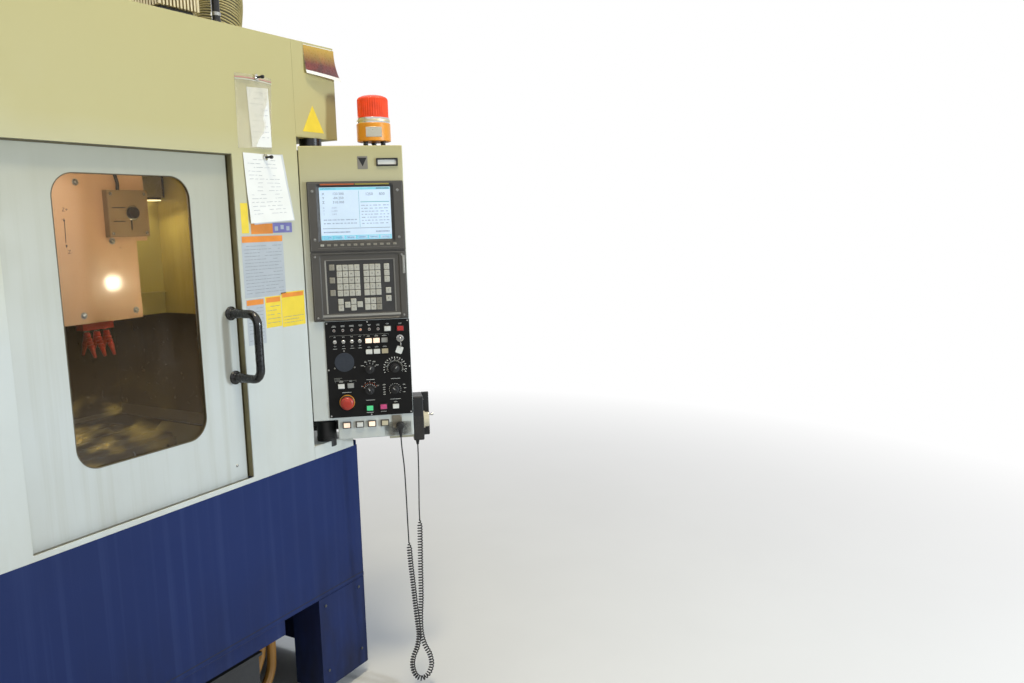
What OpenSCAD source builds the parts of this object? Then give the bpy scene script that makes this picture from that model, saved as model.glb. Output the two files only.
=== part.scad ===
// Vertical machining center: cast frame, sheet covers, a sliding door and a swinging operator panel.
// X runs right, Y runs to the back and Z runs up. The origin is on the floor, at the centre of the
// anchor holes and on the spindle's centre line.

/* [Enclosure] */
// Width of the cream covers
enclosure_w = 1842; // [1780:1:2100]
// Distance from the spindle's centre line to the right side
right_reach = 707; // [700:1:760]
// Distance from the origin to the front plane
front_reach = 1000; // [980:1:1100]
// Depth of the side covers
side_depth = 1250; // [1200:1:1400]
// Height of the blue base's top edge
base_h = 847; // [830:1:860]
// Height of the enclosure
enclosure_h = 2167; // [2120:1:2300]
// Thickness of the cover sheets
sheet_t = 3; // [2:0.5:4]
// How far the base stands out beside the covers
base_overhang = 17; // [10:1:30]
// Height of the sheets' lower edge above the floor
skirt_z = 47; // [30:1:60]
// Width and depth of the opening in the roof for the spindle motor
roof_gap_w = 520; // [480:1:540]
// Distance from the front plane to that opening
roof_front = 440; // [400:1:470]

/* [Base covers] */
// Height of the apron's lower edge
apron_z = 370; // [340:1:400]
// How far the lower strip hangs below the apron
strip_drop = 51; // [30:1:80]
// Length of the lower strip
strip_l = 1110; // [900:1:1200]
// Distance from the base's right side to the strip's end
strip_end = 382; // [300:1:450]
// Width of each corner leg
leg_w = 229; // [180:1:260]
// Depth of each corner leg
leg_d = 120; // [80:1:160]
// Depth of the base covers
base_depth = 1640; // [1640:1:1700]
// Rim of the base above the covers' lower edge
rim_h = 16; // [8:1:25]

/* [Door] */
// Width of the door opening
door_opening_w = 672; // [600:1:700]
// Place of the jamb, right of the spindle's centre line
door_jamb_x = 257; // [200:1:280]
// Height of the opening's top edge
lintel_z = 1810; // [1780:1:1850]
// Height of the sill above the base
sill_h = 15; // [12:1:20]
// Distance from the front plane to the door's face
door_recess = 22; // [18:1:40]
// Thickness of the door
door_t = 34; // [28:1:40]
// How far the door reaches behind the panel on the left
door_overlap = 40; // [20:1:60]
// Clearance round the door
door_gap = 3; // [2:0.5:5]
// Width of the window
window_w = 392; // [300:1:450]
// Height of the window
window_h = 726; // [600:1:760]
// Corner radius of the window
window_r = 60; // [30:1:90]
// Distance from the jamb to the window
window_inset = 138; // [120:1:180]
// Height of the window's lower edge
window_z = 1016; // [980:1:1050]
// Thickness of the window pane
pane_t = 6; // [4:1:10]
// Diameter of the handle's tube
handle_d = 25; // [18:1:32]
// Distance between the handle's feet
handle_span = 189; // [150:1:260]
// Reach of the handle from the door's face
handle_reach = 106; // [80:1:120]
// Height of the handle's middle
handle_z = 1262; // [1200:1:1350]
// Distance from the jamb to the handle
handle_inset = 25; // [20:1:60]

/* [Corner recess] */
// Width of the recess for the operator panel
recess_w = 189; // [180:1:230]
// Depth of the recess
recess_d = 190; // [180:1:220]
// Height of the recess floor
recess_z = 889; // [880:1:900]
// Height of the recess
recess_h = 988; // [980:1:1020]

/* [Operator panel] */
// Turn of the operator panel towards the operator
panel_turn = 49.7; // [45:0.1:55]
// Width of the panel's housing
housing_w = 322; // [320:1:340]
// Height of the housing
housing_h = 941; // [930:1:945]
// Depth of the housing
housing_d = 140; // [130:1:160]
// Height of the housing above the recess floor
housing_lift = 18; // [14:1:25]
// Width of the notch at the housing's foot
notch_w = 77; // [70:1:90]
// Height of the notch
notch_h = 66; // [50:1:80]
// Radius of the pivot post
post_r = 19; // [14:1:22]
// Place of the post from the housing's left edge
post_inset = 36; // [32:1:40]
// Depth of the post behind the panel's face
post_depth = 90; // [80:1:95]
// Width of the display and keyboard units
unit_w = 299; // [290:1:305]
// Height of each unit
unit_h = 220; // [200:1:230]
// How far the units stand out of the housing
unit_t = 12; // [8:1:20]
// Width of the screen
screen_w = 221; // [200:1:240]
// Height of the screen
screen_h = 165; // [150:1:170]
// Width of the black control plate
plate_w = 269; // [262:1:275]
// Height of the control plate
plate_h = 315; // [310:1:330]
// Thickness of the control plate
plate_t = 3; // [2:0.5:4]
// Width of a push button
button_w = 21; // [16:0.5:22]
// Height of a push button
button_h = 16; // [12:0.5:18]
// Travel of a push button
button_travel = 3; // [2:0.5:4]
// Radius of the emergency stop's head
stop_r = 24; // [18:0.5:26]
// Travel of the emergency stop
stop_travel = 5; // [3:0.5:6]
// Radius of a selector knob
knob_r = 11; // [8:0.5:13]

/* [Beacon and handwheel] */
// Radius of the beacon's base
beacon_r = 54; // [45:1:60]
// Radius of the beacon's lens
lens_r = 47.5; // [40:0.5:50]
// Height of the beacon's lens
lens_h = 72; // [60:1:90]
// Thickness of the handwheel unit
mpg_t = 35; // [28:1:45]
// Height of the handwheel unit
mpg_h = 150; // [140:1:200]
// Width of the handwheel unit
mpg_w = 80; // [70:1:90]
// Radius of the handwheel
wheel_r = 28; // [22:1:34]

/* [Casting] */
// Spacing of the anchor holes across the machine
anchor_dx = 900; // [860:1:1000]
// Spacing of the anchor holes along the machine
anchor_dy = 1100; // [1000:1:1200]
// Radius of an anchor hole
anchor_r = 9; // [6:0.5:12]
// Width of the bed
bed_w = 620; // [580:1:640]
// Height of the bed below its ways
bed_h = 560; // [540:1:580]
// Height of the ways above the bed
way_h = 40; // [30:1:50]
// Width of a way
way_w = 60; // [50:1:80]
// Spacing of the bed's ways
way_gauge = 400; // [360:1:440]
// Width of the column
column_w = 560; // [520:1:580]
// Depth of the column at its foot
column_d = 460; // [420:1:480]
// Height of the column's top
column_top = 2050; // [2000:1:2080]
// Distance from the column's front to the spindle's axis
throat = 430; // [400:1:440]

/* [Table and saddle] */
// Length of the table
table_l = 580; // [500:1:590]
// Width of the table
table_w = 380; // [340:1:420]
// Thickness of the table
table_t = 90; // [70:1:100]
// Height of the table's top
table_z = 950; // [930:1:980]
// Width of a T slot
slot_w = 14; // [12:0.5:18]
// Spacing of the T slots
slot_pitch = 100; // [80:1:110]
// Width of the saddle
saddle_w = 520; // [480:1:540]
// Length of the saddle
saddle_l = 460; // [420:1:480]
// Spacing of the saddle's cross ways
cross_gauge = 280; // [250:1:300]

/* [Spindle head] */
// Height of the spindle's nose
nose_z = 1255; // [1240:1:1270]
// Radius of the spindle's rotor
rotor_r = 45; // [40:1:50]
// Radius of the spindle's cartridge
cartridge_r = 62; // [58:1:70]
// Height of the head casting's lower face
head_z = 1330; // [1325:1:1334]
// Height of the head casting
head_h = 450; // [430:1:460]
// Width of the head casting
head_w = 330; // [300:1:350]
// Width of the head's cover
cover_w = 412; // [400:1:430]
// Width of the cover's shoulder on the right
shoulder_w = 39; // [20:1:45]
// Height of the cover below that shoulder
cover_step = 233; // [200:1:240]
// Height of the head's cover
cover_h = 453; // [440:1:460]
// Distance from the spindle's axis to the cover's face
cover_reach = 190; // [180:1:200]
// Radius of the collet's bore
collet_r = 6; // [3:0.5:8]

/* [Tool magazine] */
// Number of tool pockets
pockets = 12; // [8:1:14]
// Radius of the pockets' circle
pocket_circle = 280; // [260:1:290]
// Travel of the magazine to the spindle
magazine_travel = 360; // [340:1:380]
// Width of the magazine's beam
beam_h = 100; // [80:1:120]

/* [Electrical cabinet] */
// Width of the cabinet
cabinet_w = 960; // [800:1:1000]
// Depth of the cabinet
cabinet_d = 340; // [300:1:380]
// Height of the cabinet
cabinet_h = 1300; // [1200:1:1350]
// Thickness of the cabinet's door
cabinet_door_t = 25; // [20:1:35]

/* [Hidden] */
$fn = 48;

// Colours
cream = [0.83, 0.82, 0.72];
blue = [0.13, 0.2, 0.44];
cast_green = [0.45, 0.5, 0.48];
steel = [0.68, 0.69, 0.7];
dark = [0.1, 0.1, 0.11];
plastic_gray = [0.3, 0.3, 0.32];
white = [0.93, 0.93, 0.9];
amber = [0.95, 0.62, 0.08];

// Clearances
seat_gap = 0.3;
running_gap = 0.05;
lap = 25;

// Enclosure limits
x_right = right_reach;
x_left = right_reach - enclosure_w;
y_front = -front_reach;
y_back = y_front + side_depth;
base_right = x_right + base_overhang;
base_left = x_left - base_overhang;
base_back = y_front + base_depth;
roof_z = enclosure_h - sheet_t;
crease_x = x_right - recess_w;
recess_back = y_front + recess_d;
recess_top = recess_z + recess_h;
roof_gap_y = y_front + roof_front;

// Door limits
sill_z = base_h + sill_h;
opening_left = door_jamb_x - door_opening_w;
door_y = y_front + door_recess;
door_back = door_y + door_t;
door_right = door_jamb_x - door_gap;
door_left = opening_left - door_overlap;
door_bottom = base_h + sheet_t + 1;
door_top_z = lintel_z + 70;
window_right = door_jamb_x - window_inset;
window_mid_x = window_right - window_w / 2;
window_mid_z = window_z + window_h / 2;
handle_x = door_jamb_x - handle_inset;
door_rail_w = 12;
door_rail_h = 25;
hook_h = 20;
door_rail_y = door_back + 3;
door_rail_top = door_top_z - hook_h - seat_gap;

// Casting levels
way_z = bed_h + way_h;
pad_t = 20;
lug_z = 55;
lug_t = 60;
screw_inset = 60;
screw_r = 15;
bed_y0 = -anchor_dy / 2 - 230;
bed_y1 = anchor_dy / 2 + 70;
spindle_y = -throat;
saddle_y0 = spindle_y - saddle_l / 2;
saddle_z = way_z + seat_gap;
cross_way_h = 30;
table_bottom = table_z - table_t;
saddle_top = table_bottom - seat_gap;

// Spindle head
z_way_h = 40;
z_way_w = 65;
z_way_gauge = 365;
head_y1 = -z_way_h - seat_gap;
head_front = spindle_y - 130;
cover_y = spindle_y - cover_reach;
cover_z = head_z + 7;
cover_top = cover_z + cover_h;
cover_right = cover_w / 2 + shoulder_w;
release_x = cover_right - 61;
release_z = cover_top - 136;
cartridge_drop = nose_z + 7;

// Magazine
magazine_x = -magazine_travel - pocket_circle;
flange_z = nose_z - 12;
fork_t = 6;
groove_r = 19.5;
beam_z = 1460;
beam_y = 20;

// Cabinet
cabinet_y = column_d;
cabinet_back = cabinet_y + cabinet_d;
cabinet_sheet = 3;
switch_x = -cabinet_w / 2 + 130;
switch_z = way_z + cabinet_h - 220;

// Operator panel. These lie in the panel's own frame: X along its face, Y into it.
housing_x = 2;
housing_z = recess_z + housing_lift;
housing_top = housing_z + housing_h;
housing_right = housing_x + housing_w;
post_x = housing_x + post_inset;
unit_x = housing_right - unit_w - 2.5;
plate_x = housing_right - plate_w - 1;
plate_z = housing_z + 74;
keyboard_z = plate_z + plate_h + 2;
display_z = keyboard_z + unit_h;
screen_x = unit_x + 37;
screen_z = display_z + 37;
screen_depth = 6;
strip_z = housing_z + 48;
plug_x = housing_right - 44.5;
plug_z = housing_z + 37;
frame_rim = 2.5;

// Places on the control plate, from its lower left corner
mode_at = [136, 155];
spindle_at = [133, 85];
feed_at = [217, 154];
rapid_at = [214, 84];
stop_at = [58, 50];
start_at = [130, 27];
hold_at = [174, 29];
power_on_at = [198, 286];
power_off_at = [239, 285];
key_at = [237, 252];
white_at = [[136, 249], [161, 249], [187, 249], [136, 213], [161, 213], [187, 213], [42, 104], [72, 105], [214, 28]];
toggle_at = [29, 56, 83, 108];
toggle_z = 249;
lamp_at = [28, 56, 84, 112, 140, 168];
lamp_z = 286;
cover_at = [56, 182];
lit_at = [107, 149, 188, 230];

// Beacon and handwheel, in the panel's frame
beacon_x = housing_x + 238;
beacon_y = housing_d / 2;
foot_h = 16;
beacon_base_h = 57;
band_h = 17;
beacon_z = housing_top + foot_h;
lens_z = beacon_z + beacon_base_h + band_h;
mpg_x = housing_right + seat_gap;
mpg_y = 60;
mpg_z = housing_z - 26;
wheel_x = mpg_x + mpg_t + seat_gap;
wheel_t = 20;
wheel_z = mpg_z + 62;
crank_offset = 17;

// The curly lead's route, from the housing's lower right corner
lead_r = 3;
coil_r = 9.5;
lead_down = [
  [-44.5, -19, 1], [-43, -20, -37], [-38, -20, -107], [-36, -20, -207], [-35, -19, -297], [-34, -18, -362]
];
coil_route = [
  [-34, -18, -362], [-31, -16, -437], [-26, -14, -507], [-21, -11, -587], [-16, -9, -657], [-13, -7, -702],
  [-21, -5, -747], [-35, -3, -782], [-39, -2, -817], [-30, -1, -850], [-10, 2, -867], [14, 5, -855],
  [27, 8, -823], [22, 11, -785], [7, 14, -752], [-3, 18, -707], [-3, 22, -647], [2, 27, -577],
  [5, 34, -467], [8, 40, -367], [9, 42, -307]
];
lead_up = [
  [9, 42, -307], [9, 44, -267], [11, 47, -207], [13, 51, -142], [14, 56, -87], [14.3, 60, -49]
];
function hung(route) = [for (p = route) p + [housing_right, 0, housing_z]];

// What stands on the roof, from its right side and the front plane
blower_at = [x_right - 447, y_front + 240];
blower_w = 140;
vent_at = [x_right - 291, y_front + 200];
duct_at = [x_right - 202, y_front + 310];
duct_r = 74;

// The tank's ends, and the hoses from it to the trough and the chute
tank_x = 260;
tank_left = base_left + 300;
hose_r = 16;
hose_y = -850;
chute_x = bed_w / 2;
sill = base_h - 2 * sheet_t;
chute_run = x_right - sheet_t - 20 - chute_x;
hose_b_top = bed_h + (412 - hose_r - chute_x - 10) * (sill - bed_h) / chute_run - seat_gap;
hose_a = [
  [tank_x + 10, hose_y, 95], [290, hose_y, 103], [325, hose_y, 138], [352, hose_y, 174], [368, hose_y, 215],
  [368, hose_y, 300], [330, hose_y, 420], [275, hose_y, 500], [262, hose_y, 535], [262, hose_y, bed_h - 10]
];
hose_b = [
  [tank_x + 10, hose_y, 57], [320, hose_y, 60], [370, hose_y, 80], [400, hose_y, 118], [412, hose_y, 170],
  [414, hose_y, 300], [412, hose_y, 560], [412, hose_y, hose_b_top - 5]
];

// A straight block given by its limits
module slab(x0, x1, y0, y1, z0, z1) {
  translate([x0, y0, z0]) cube([x1 - x0, y1 - y0, z1 - z0]);
}

// A rectangle with round corners, centred
module round_rect(w, h, r) {
  square([w - 2 * r, h], center = true);
  square([w, h - 2 * r], center = true);
  for (sx = [-1, 1], sy = [-1, 1]) {
    translate([sx * (w / 2 - r), sy * (h / 2 - r)]) circle(r);
  }
}

// Stands an outline up in the XZ plane, with its front at y and its back at y + t
module upright(y, t) {
  translate([0, y + t, 0]) rotate([90, 0, 0]) linear_extrude(t) children();
}

// A cylinder along X or Y
module bar_x(r, l) {
  rotate([0, 90, 0]) cylinder(r = r, h = l);
}
module bar_y(r, l) {
  rotate([-90, 0, 0]) cylinder(r = r, h = l);
}

// Puts children in the operator panel's frame
module at_panel() {
  translate([crease_x, y_front, 0]) rotate([0, 0, -panel_turn]) children();
}

// Puts children on the control plate at p, with -Y out of the plate
module on_plate(p) {
  translate([plate_x + p[0], -plate_t, plate_z + p[1]]) children();
}

// A smooth curve through points
function blend_point(a, b, c, d, t) =
  0.5 * (2 * b + (c - a) * t + (2 * a - 5 * b + 4 * c - d) * t * t + (3 * b - a - 3 * c + d) * t * t * t);
function smooth_path(p, steps) = let (n = len(p)) concat(
  [for (i = [0:n - 2], s = [0:steps - 1])
    blend_point(p[max(i - 1, 0)], p[i], p[i + 1], p[min(i + 2, n - 1)], s / steps)],
  [p[n - 1]]
);
function unit_of(v) = v / norm(v);
function tangent(p, i) = unit_of(p[min(i + 1, len(p) - 1)] - p[max(i - 1, 0)]);

// A tube swept along a path that keeps clear of the direction side
module swept_tube(path, radii, sides, side = [0, 1, 0]) {
  n = len(path);
  rings = [for (i = [0:n - 1])
    let (t = tangent(path, i), a = unit_of(cross(t, side)), b = cross(t, a), r = radii[i % len(radii)])
    for (k = [0:sides - 1]) path[i] + r * (cos(360 * k / sides) * a + sin(360 * k / sides) * b)];
  sides_faces = [for (i = [0:n - 2], k = [0:sides - 1])
    let (j = (k + 1) % sides)
    [i * sides + k, (i + 1) * sides + k, (i + 1) * sides + j, i * sides + j]];
  ends = [[for (k = [0:sides - 1]) k], [for (k = [sides - 1:-1:0]) (n - 1) * sides + k]];
  polyhedron(points = rings, faces = concat(sides_faces, ends), convexity = 6);
}

// Casting and axes

module leveling_feet() {
  hole_x = anchor_dx / 2;
  screw_x = hole_x - screw_inset;
  color(steel) for (sx = [-1, 1], sy = [-1, 1]) translate([0, sy * anchor_dy / 2, 0]) {
    difference() {
      translate([sx * (hole_x + screw_x) / 2 - (screw_inset + 90) / 2, -55, 0])
        cube([screw_inset + 90, 110, pad_t]);
      translate([sx * hole_x, 0, -1]) cylinder(r = anchor_r, h = pad_t + 2);
    }
    translate([sx * screw_x, 0, pad_t]) {
      cylinder(r = screw_r, h = lug_z + lug_t);
      translate([0, 0, lug_z - pad_t - 14]) cylinder(r = 26, h = 14, $fn = 6);
    }
  }
}

module machine_bed() {
  pocket = 230;
  wall = 28;
  cell = (bed_y1 - bed_y0 - wall) / 4;
  color(cast_green) difference() {
    union() {
      slab(-bed_w / 2, bed_w / 2, bed_y0, bed_y1, lug_z, bed_h);
      slab(-bed_w / 2, bed_w / 2, 0, bed_y1, bed_h, way_z);
      for (s = [-1, 1]) {
        slab(s * way_gauge / 2 - way_w / 2, s * way_gauge / 2 + way_w / 2, bed_y0 + 20, -20, bed_h, way_z);
      }
      for (sx = [-1, 1], sy = [-1, 1]) {
        translate([sx * (anchor_dx / 2 - screw_inset), sy * anchor_dy / 2, lug_z]) cylinder(r = 50, h = lug_t);
        slab(min(0, sx * (anchor_dx / 2 - screw_inset)), max(0, sx * (anchor_dx / 2 - screw_inset)),
          sy * anchor_dy / 2 - 50, sy * anchor_dy / 2 + 50, lug_z, lug_z + lug_t);
      }
    }
    for (sx = [-1, 1], sy = [-1, 1]) {
      translate([sx * (anchor_dx / 2 - screw_inset), sy * anchor_dy / 2, lug_z - 1])
        cylinder(r = screw_r + seat_gap, h = lug_t + 2);
    }
    for (i = [0:3]) {
      y0 = bed_y0 + wall + i * cell;
      slab(-bed_w / 2 + wall, bed_w / 2 - wall, y0, y0 + cell - wall, lug_z - 1, bed_h - wall - 12);
      for (s = [-1, 1]) translate([s * bed_w / 2, y0 + (cell - wall) / 2, lug_z + lug_t + 20 + pocket / 2])
        rotate([0, 90, 0]) linear_extrude(2 * wall + 4, center = true) round_rect(pocket, pocket, 30);
    }
  }
}

module column() {
  foot = column_d;
  top = column_d - 150;
  wall = 32;
  mid = (way_z + column_top) / 2 - 25;
  color(cast_green) difference() {
    union() {
      translate([-column_w / 2, 0, 0]) rotate([90, 0, 90]) linear_extrude(column_w)
        polygon([[0, way_z], [foot, way_z], [foot, mid], [top, column_top - 250], [top, column_top], [0, column_top]]);
      for (s = [-1, 1]) {
        slab(s * z_way_gauge / 2 - z_way_w / 2, s * z_way_gauge / 2 + z_way_w / 2, -z_way_h, 0, nose_z - 100, column_top - 30);
      }
      slab(x_left + 135, -column_w / 2, beam_y, beam_y + 80, beam_z, beam_z + beam_h);
      translate([-column_w / 2, beam_y + 10, 0]) rotate([90, 0, 0]) linear_extrude(20, center = true)
        polygon([[0, beam_z], [0, beam_z - 180], [-180, beam_z]]);
    }
    slab(-100, 100, -1, 70, nose_z - 100, column_top - 60);
    translate([-column_w / 2 + wall, 0, 0]) rotate([90, 0, 90]) linear_extrude(column_w - 2 * wall) {
      polygon([[100, way_z + wall], [foot - wall, way_z + wall], [foot - wall, mid - wall], [100, mid - wall]]);
      polygon([[100, mid], [foot - wall, mid], [top - wall, column_top - 255], [top - wall, column_top - 45], [100, column_top - 45]]);
    }
    for (s = [-1, 1], z = [way_z + 330, mid + 250]) {
      translate([s * column_w / 2, foot / 2 - 10, z]) rotate([0, 90, 0])
        linear_extrude(2 * wall + 4, center = true) round_rect(320, 200, 30);
    }
  }
}

// A servo motor standing on the XY plane
module servo(w, l) {
  linear_extrude(l) round_rect(w, w, w * 0.12);
  translate([0, 0, l]) linear_extrude(w * 0.35) round_rect(w * 0.82, w * 0.82, w * 0.1);
  translate([-w * 0.2, w * 0.3, l * 0.7]) cube([w * 0.4, w * 0.4, w * 0.3]);
}

module axis_motors() {
  color(dark) {
    translate([0, 110, column_top]) servo(130, 160);
    translate([0, bed_y0, bed_h - 90]) rotate([90, 0, 0]) servo(100, 90);
  }
}

module saddle() {
  gauge = cross_gauge / 2;
  color(cast_green) {
    difference() {
      union() {
        slab(-saddle_w / 2, saddle_w / 2, saddle_y0, saddle_y0 + saddle_l, saddle_z, saddle_top - cross_way_h);
        for (s = [-1, 1]) {
          slab(-saddle_w / 2, saddle_w / 2, spindle_y + s * gauge - 30, spindle_y + s * gauge + 30,
            saddle_top - cross_way_h, saddle_top);
        }
      }
      translate([0, saddle_y0 - 1, saddle_z + 110]) rotate([-90, 0, 0])
        linear_extrude(40) round_rect(saddle_w - 160, 90, 20);
      slab(-way_gauge / 2 + way_w / 2 + 10, way_gauge / 2 - way_w / 2 - 10, saddle_y0 + 60, saddle_y0 + saddle_l - 40,
        saddle_z - 1, saddle_top - cross_way_h - 50);
    }
    translate([saddle_w / 2, spindle_y, saddle_top - cross_way_h - 70]) rotate([0, 90, 0]) servo(90, 70);
  }
}

module way_cover() {
  w = saddle_w + 60;
  l = 130;
  color(steel) difference() {
    slab(-w / 2, w / 2, saddle_y0 - l, saddle_y0, way_z + 8, way_z + 60);
    slab(-w / 2 + sheet_t, w / 2 - sheet_t, saddle_y0 - l - 1, saddle_y0 + 1, way_z + 7, way_z + 60 - sheet_t);
  }
}

module table() {
  t_w = slot_w + 10;
  t_h = 10;
  neck = 15;
  edge = 20;
  color(steel) translate([-table_l / 2, spindle_y, table_bottom]) rotate([90, 0, 90]) linear_extrude(table_l)
    difference() {
      translate([-table_w / 2, 0]) square([table_w, table_t]);
      for (i = [-1:1]) translate([i * slot_pitch, table_t]) {
        translate([-slot_w / 2, -neck]) square([slot_w, neck + 1]);
        translate([-t_w / 2, -neck - t_h]) square([t_w, t_h]);
      }
      for (s = [-1, 1]) translate([s * table_w / 2, table_t]) square([2 * edge, 2 * edge * 0.6], center = true);
      for (s = [-1, 1]) translate([s * table_w / 2, table_t * 0.35]) square([30, table_t * 0.3], center = true);
    }
}

module spindle_head() {
  boss_y = [head_front + 60, head_front + 230];
  color(cast_green) difference() {
    union() {
      slab(-head_w / 2, head_w / 2, head_front, head_y1, head_z, head_z + head_h);
      slab(-z_way_gauge / 2 - z_way_w / 2, z_way_gauge / 2 + z_way_w / 2, head_y1 - 60, head_y1,
        head_z - 40, head_z + head_h - 30);
      translate([0, spindle_y, cartridge_drop]) cylinder(r = cartridge_r, h = head_z - cartridge_drop + 1);
      for (y = boss_y, z = [cover_z + 60, cover_z + cover_step - 60]) {
        translate([-cover_w / 2 + sheet_t, y, z]) bar_x(12, cover_w - 2 * sheet_t);
      }
    }
    translate([0, spindle_y, cartridge_drop - 1]) cylinder(r = rotor_r, h = head_z - cartridge_drop + 16);
    slab(-head_w / 2 + 35, head_w / 2 - 35, spindle_y + cartridge_r + 30, head_y1 - 85, head_z - 1, head_z + head_h - 40);
  }
}

module head_cover() {
  y1 = head_y1 - 70;
  step_z = cover_z + cover_step;
  x0 = -cover_w / 2;
  x1 = cover_w / 2;
  color([0.9, 0.78, 0.6]) difference() {
    union() {
      slab(x0, x1, cover_y, y1, cover_z, cover_top);
      slab(x1 - 1, cover_right, cover_y, cover_y + 260, step_z, cover_top);
    }
    slab(x0 + sheet_t, x1 - sheet_t, cover_y + sheet_t, y1 + 1, cover_z - 1, cover_top - sheet_t);
    slab(x1 - sheet_t - 1, cover_right - sheet_t, cover_y + sheet_t, cover_y + 260 - sheet_t,
      step_z + sheet_t, cover_top - sheet_t);
    slab(-110, 110, head_front, y1 + 1, cover_z, cover_top + 1);
  }
}

module spindle_motor() {
  w = 180;
  z0 = head_z + head_h;
  color(steel) translate([0, spindle_y, z0]) {
    linear_extrude(20) round_rect(w + 20, w + 20, 10);
    translate([0, 0, 20]) linear_extrude(220) difference() {
      round_rect(w, w, 20);
      for (a = [0:90:270], i = [-3:3]) rotate(a) translate([i * 20, w / 2]) square([7, 14], center = true);
    }
    translate([0, 0, 240]) cylinder(r = w * 0.42, h = 50);
    slab(w / 2 - 1, w / 2 + 25, -45, 45, 130, 210);
  }
}

module coolant_nozzles() {
  x0 = 45;
  block_y = head_front;
  color("red") {
    slab(x0, x0 + 100, block_y, block_y + 34, head_z - 20, head_z);
    for (i = [0:2]) translate([x0 + 18 + 32 * i, block_y + 12, head_z - 20]) {
      translate([0, 0, -10]) cylinder(r = 7, h = 11);
      translate([0, 0, -13]) sphere(9, $fn = 24);
      translate([0, 0, -13]) rotate([24, 0, 0]) {
        translate([0, 0, -30]) cylinder(r1 = 7, r2 = 8.5, h = 26);
        translate([0, 0, -33]) sphere(9, $fn = 24);
        translate([0, 0, -68]) cylinder(r1 = 4, r2 = 7.5, h = 32);
      }
    }
  }
}

module tool_release_box() {
  color(steel) difference() {
    slab(release_x - 79, release_x + 56, cover_y - 20, cover_y, release_z - 71, release_z + 67);
    translate([release_x, cover_y - 21, release_z]) bar_y(14, 19);
  }
}

module tool_release_button() {
  color(dark) translate([release_x, cover_y - 32, release_z]) {
    bar_y(14 - seat_gap, 22);
    translate([0, -1, 0]) bar_y(17, 5);
  }
}

// A tool holder hanging from its gauge line at z = 0, with a collet bore in its lower end
module tool_holder() {
  difference() {
    rotate_extrude() polygon([
      [0, 70], [6, 70], [6, 60], [4.5, 56], [4.5, 48], [8.6, 48], [15.8, 0], [18, -2],
      [23, -2], [23, -7], [groove_r, -8.7], [groove_r, -15.3], [23, -17], [23, -24],
      [19, -24], [17, -58], [21, -60], [21, -84], [17, -90], [0, -90]
    ]);
    translate([0, 0, -91]) cylinder(r = collet_r, h = 31);
  }
}

module spindle() {
  color(steel) translate([0, spindle_y, nose_z]) {
    difference() {
      cylinder(r = rotor_r - running_gap, h = head_z - nose_z + 10);
      translate([0, 0, -0.01]) cylinder(r1 = 16.1, r2 = 8.9, h = 48.01);
      translate([0, 0, 47]) cylinder(r = 8.6, h = 60);
    }
    tool_holder();
  }
}

// Tool magazine

module magazine_carriage() {
  plate_x1 = magazine_x - 10;
  color(plastic_gray) {
    slab(plate_x1 - 120, plate_x1, beam_y - 40, beam_y - seat_gap, beam_z - 20, beam_z + beam_h + 20);
    slab(plate_x1 - 120, magazine_x + 40, beam_y - 100, beam_y - 40, beam_z - 20, beam_z + 60);
    slab(magazine_x - 40, magazine_x + 40, spindle_y - 20, beam_y - 41, beam_z - 20, beam_z + 40);
    translate([magazine_x, spindle_y, flange_z + 40]) cylinder(r = 40, h = beam_z - 20 - flange_z - 40);
    translate([magazine_x, spindle_y, flange_z - 12]) cylinder(r = 20 - running_gap, h = 60);
    translate([magazine_x, spindle_y, beam_z + 40]) cylinder(r = 38, h = 90);
  }
}

module magazine_disc() {
  color(steel) translate([magazine_x, spindle_y, flange_z]) {
    difference() {
      union() {
        translate([0, 0, -fork_t / 2]) linear_extrude(fork_t) difference() {
          union() {
            circle(pocket_circle - 60);
            for (i = [0:pockets - 1]) rotate(i * 360 / pockets) translate([pocket_circle - 70, -32]) square([88, 64]);
          }
          for (i = [0:pockets - 1]) rotate(i * 360 / pockets) translate([pocket_circle, 0]) {
            circle(groove_r + seat_gap);
            translate([0, -groove_r - seat_gap]) square([80, 2 * (groove_r + seat_gap)]);
          }
        }
        cylinder(r = 70, h = 36);
        for (i = [0:pockets - 1]) rotate((i + 0.5) * 360 / pockets) translate([0, -4, 0]) cube([pocket_circle - 80, 8, 22]);
      }
      translate([0, 0, -fork_t]) cylinder(r = 20, h = 60);
    }
    for (i = [1:pockets - 1]) rotate(i * 360 / pockets) translate([pocket_circle, 0, nose_z - flange_z]) tool_holder();
  }
}

// Base covers

module base_front_cover() {
  strip_x1 = base_right - strip_end;
  y1 = y_front + sheet_t;
  color(blue) {
    slab(base_left, base_right, y_front, y1, apron_z, base_h);
    slab(base_left, base_right, y_front - 1, y_front + 1, apron_z, apron_z + 14);
    slab(base_left + 30, base_right - 30, y1 + seat_gap, y_front + 60, base_h - sheet_t, base_h);
    slab(strip_x1 - strip_l, strip_x1, y1 + seat_gap, y1 + seat_gap + sheet_t, apron_z - strip_drop, apron_z + lap);
  }
}

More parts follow.
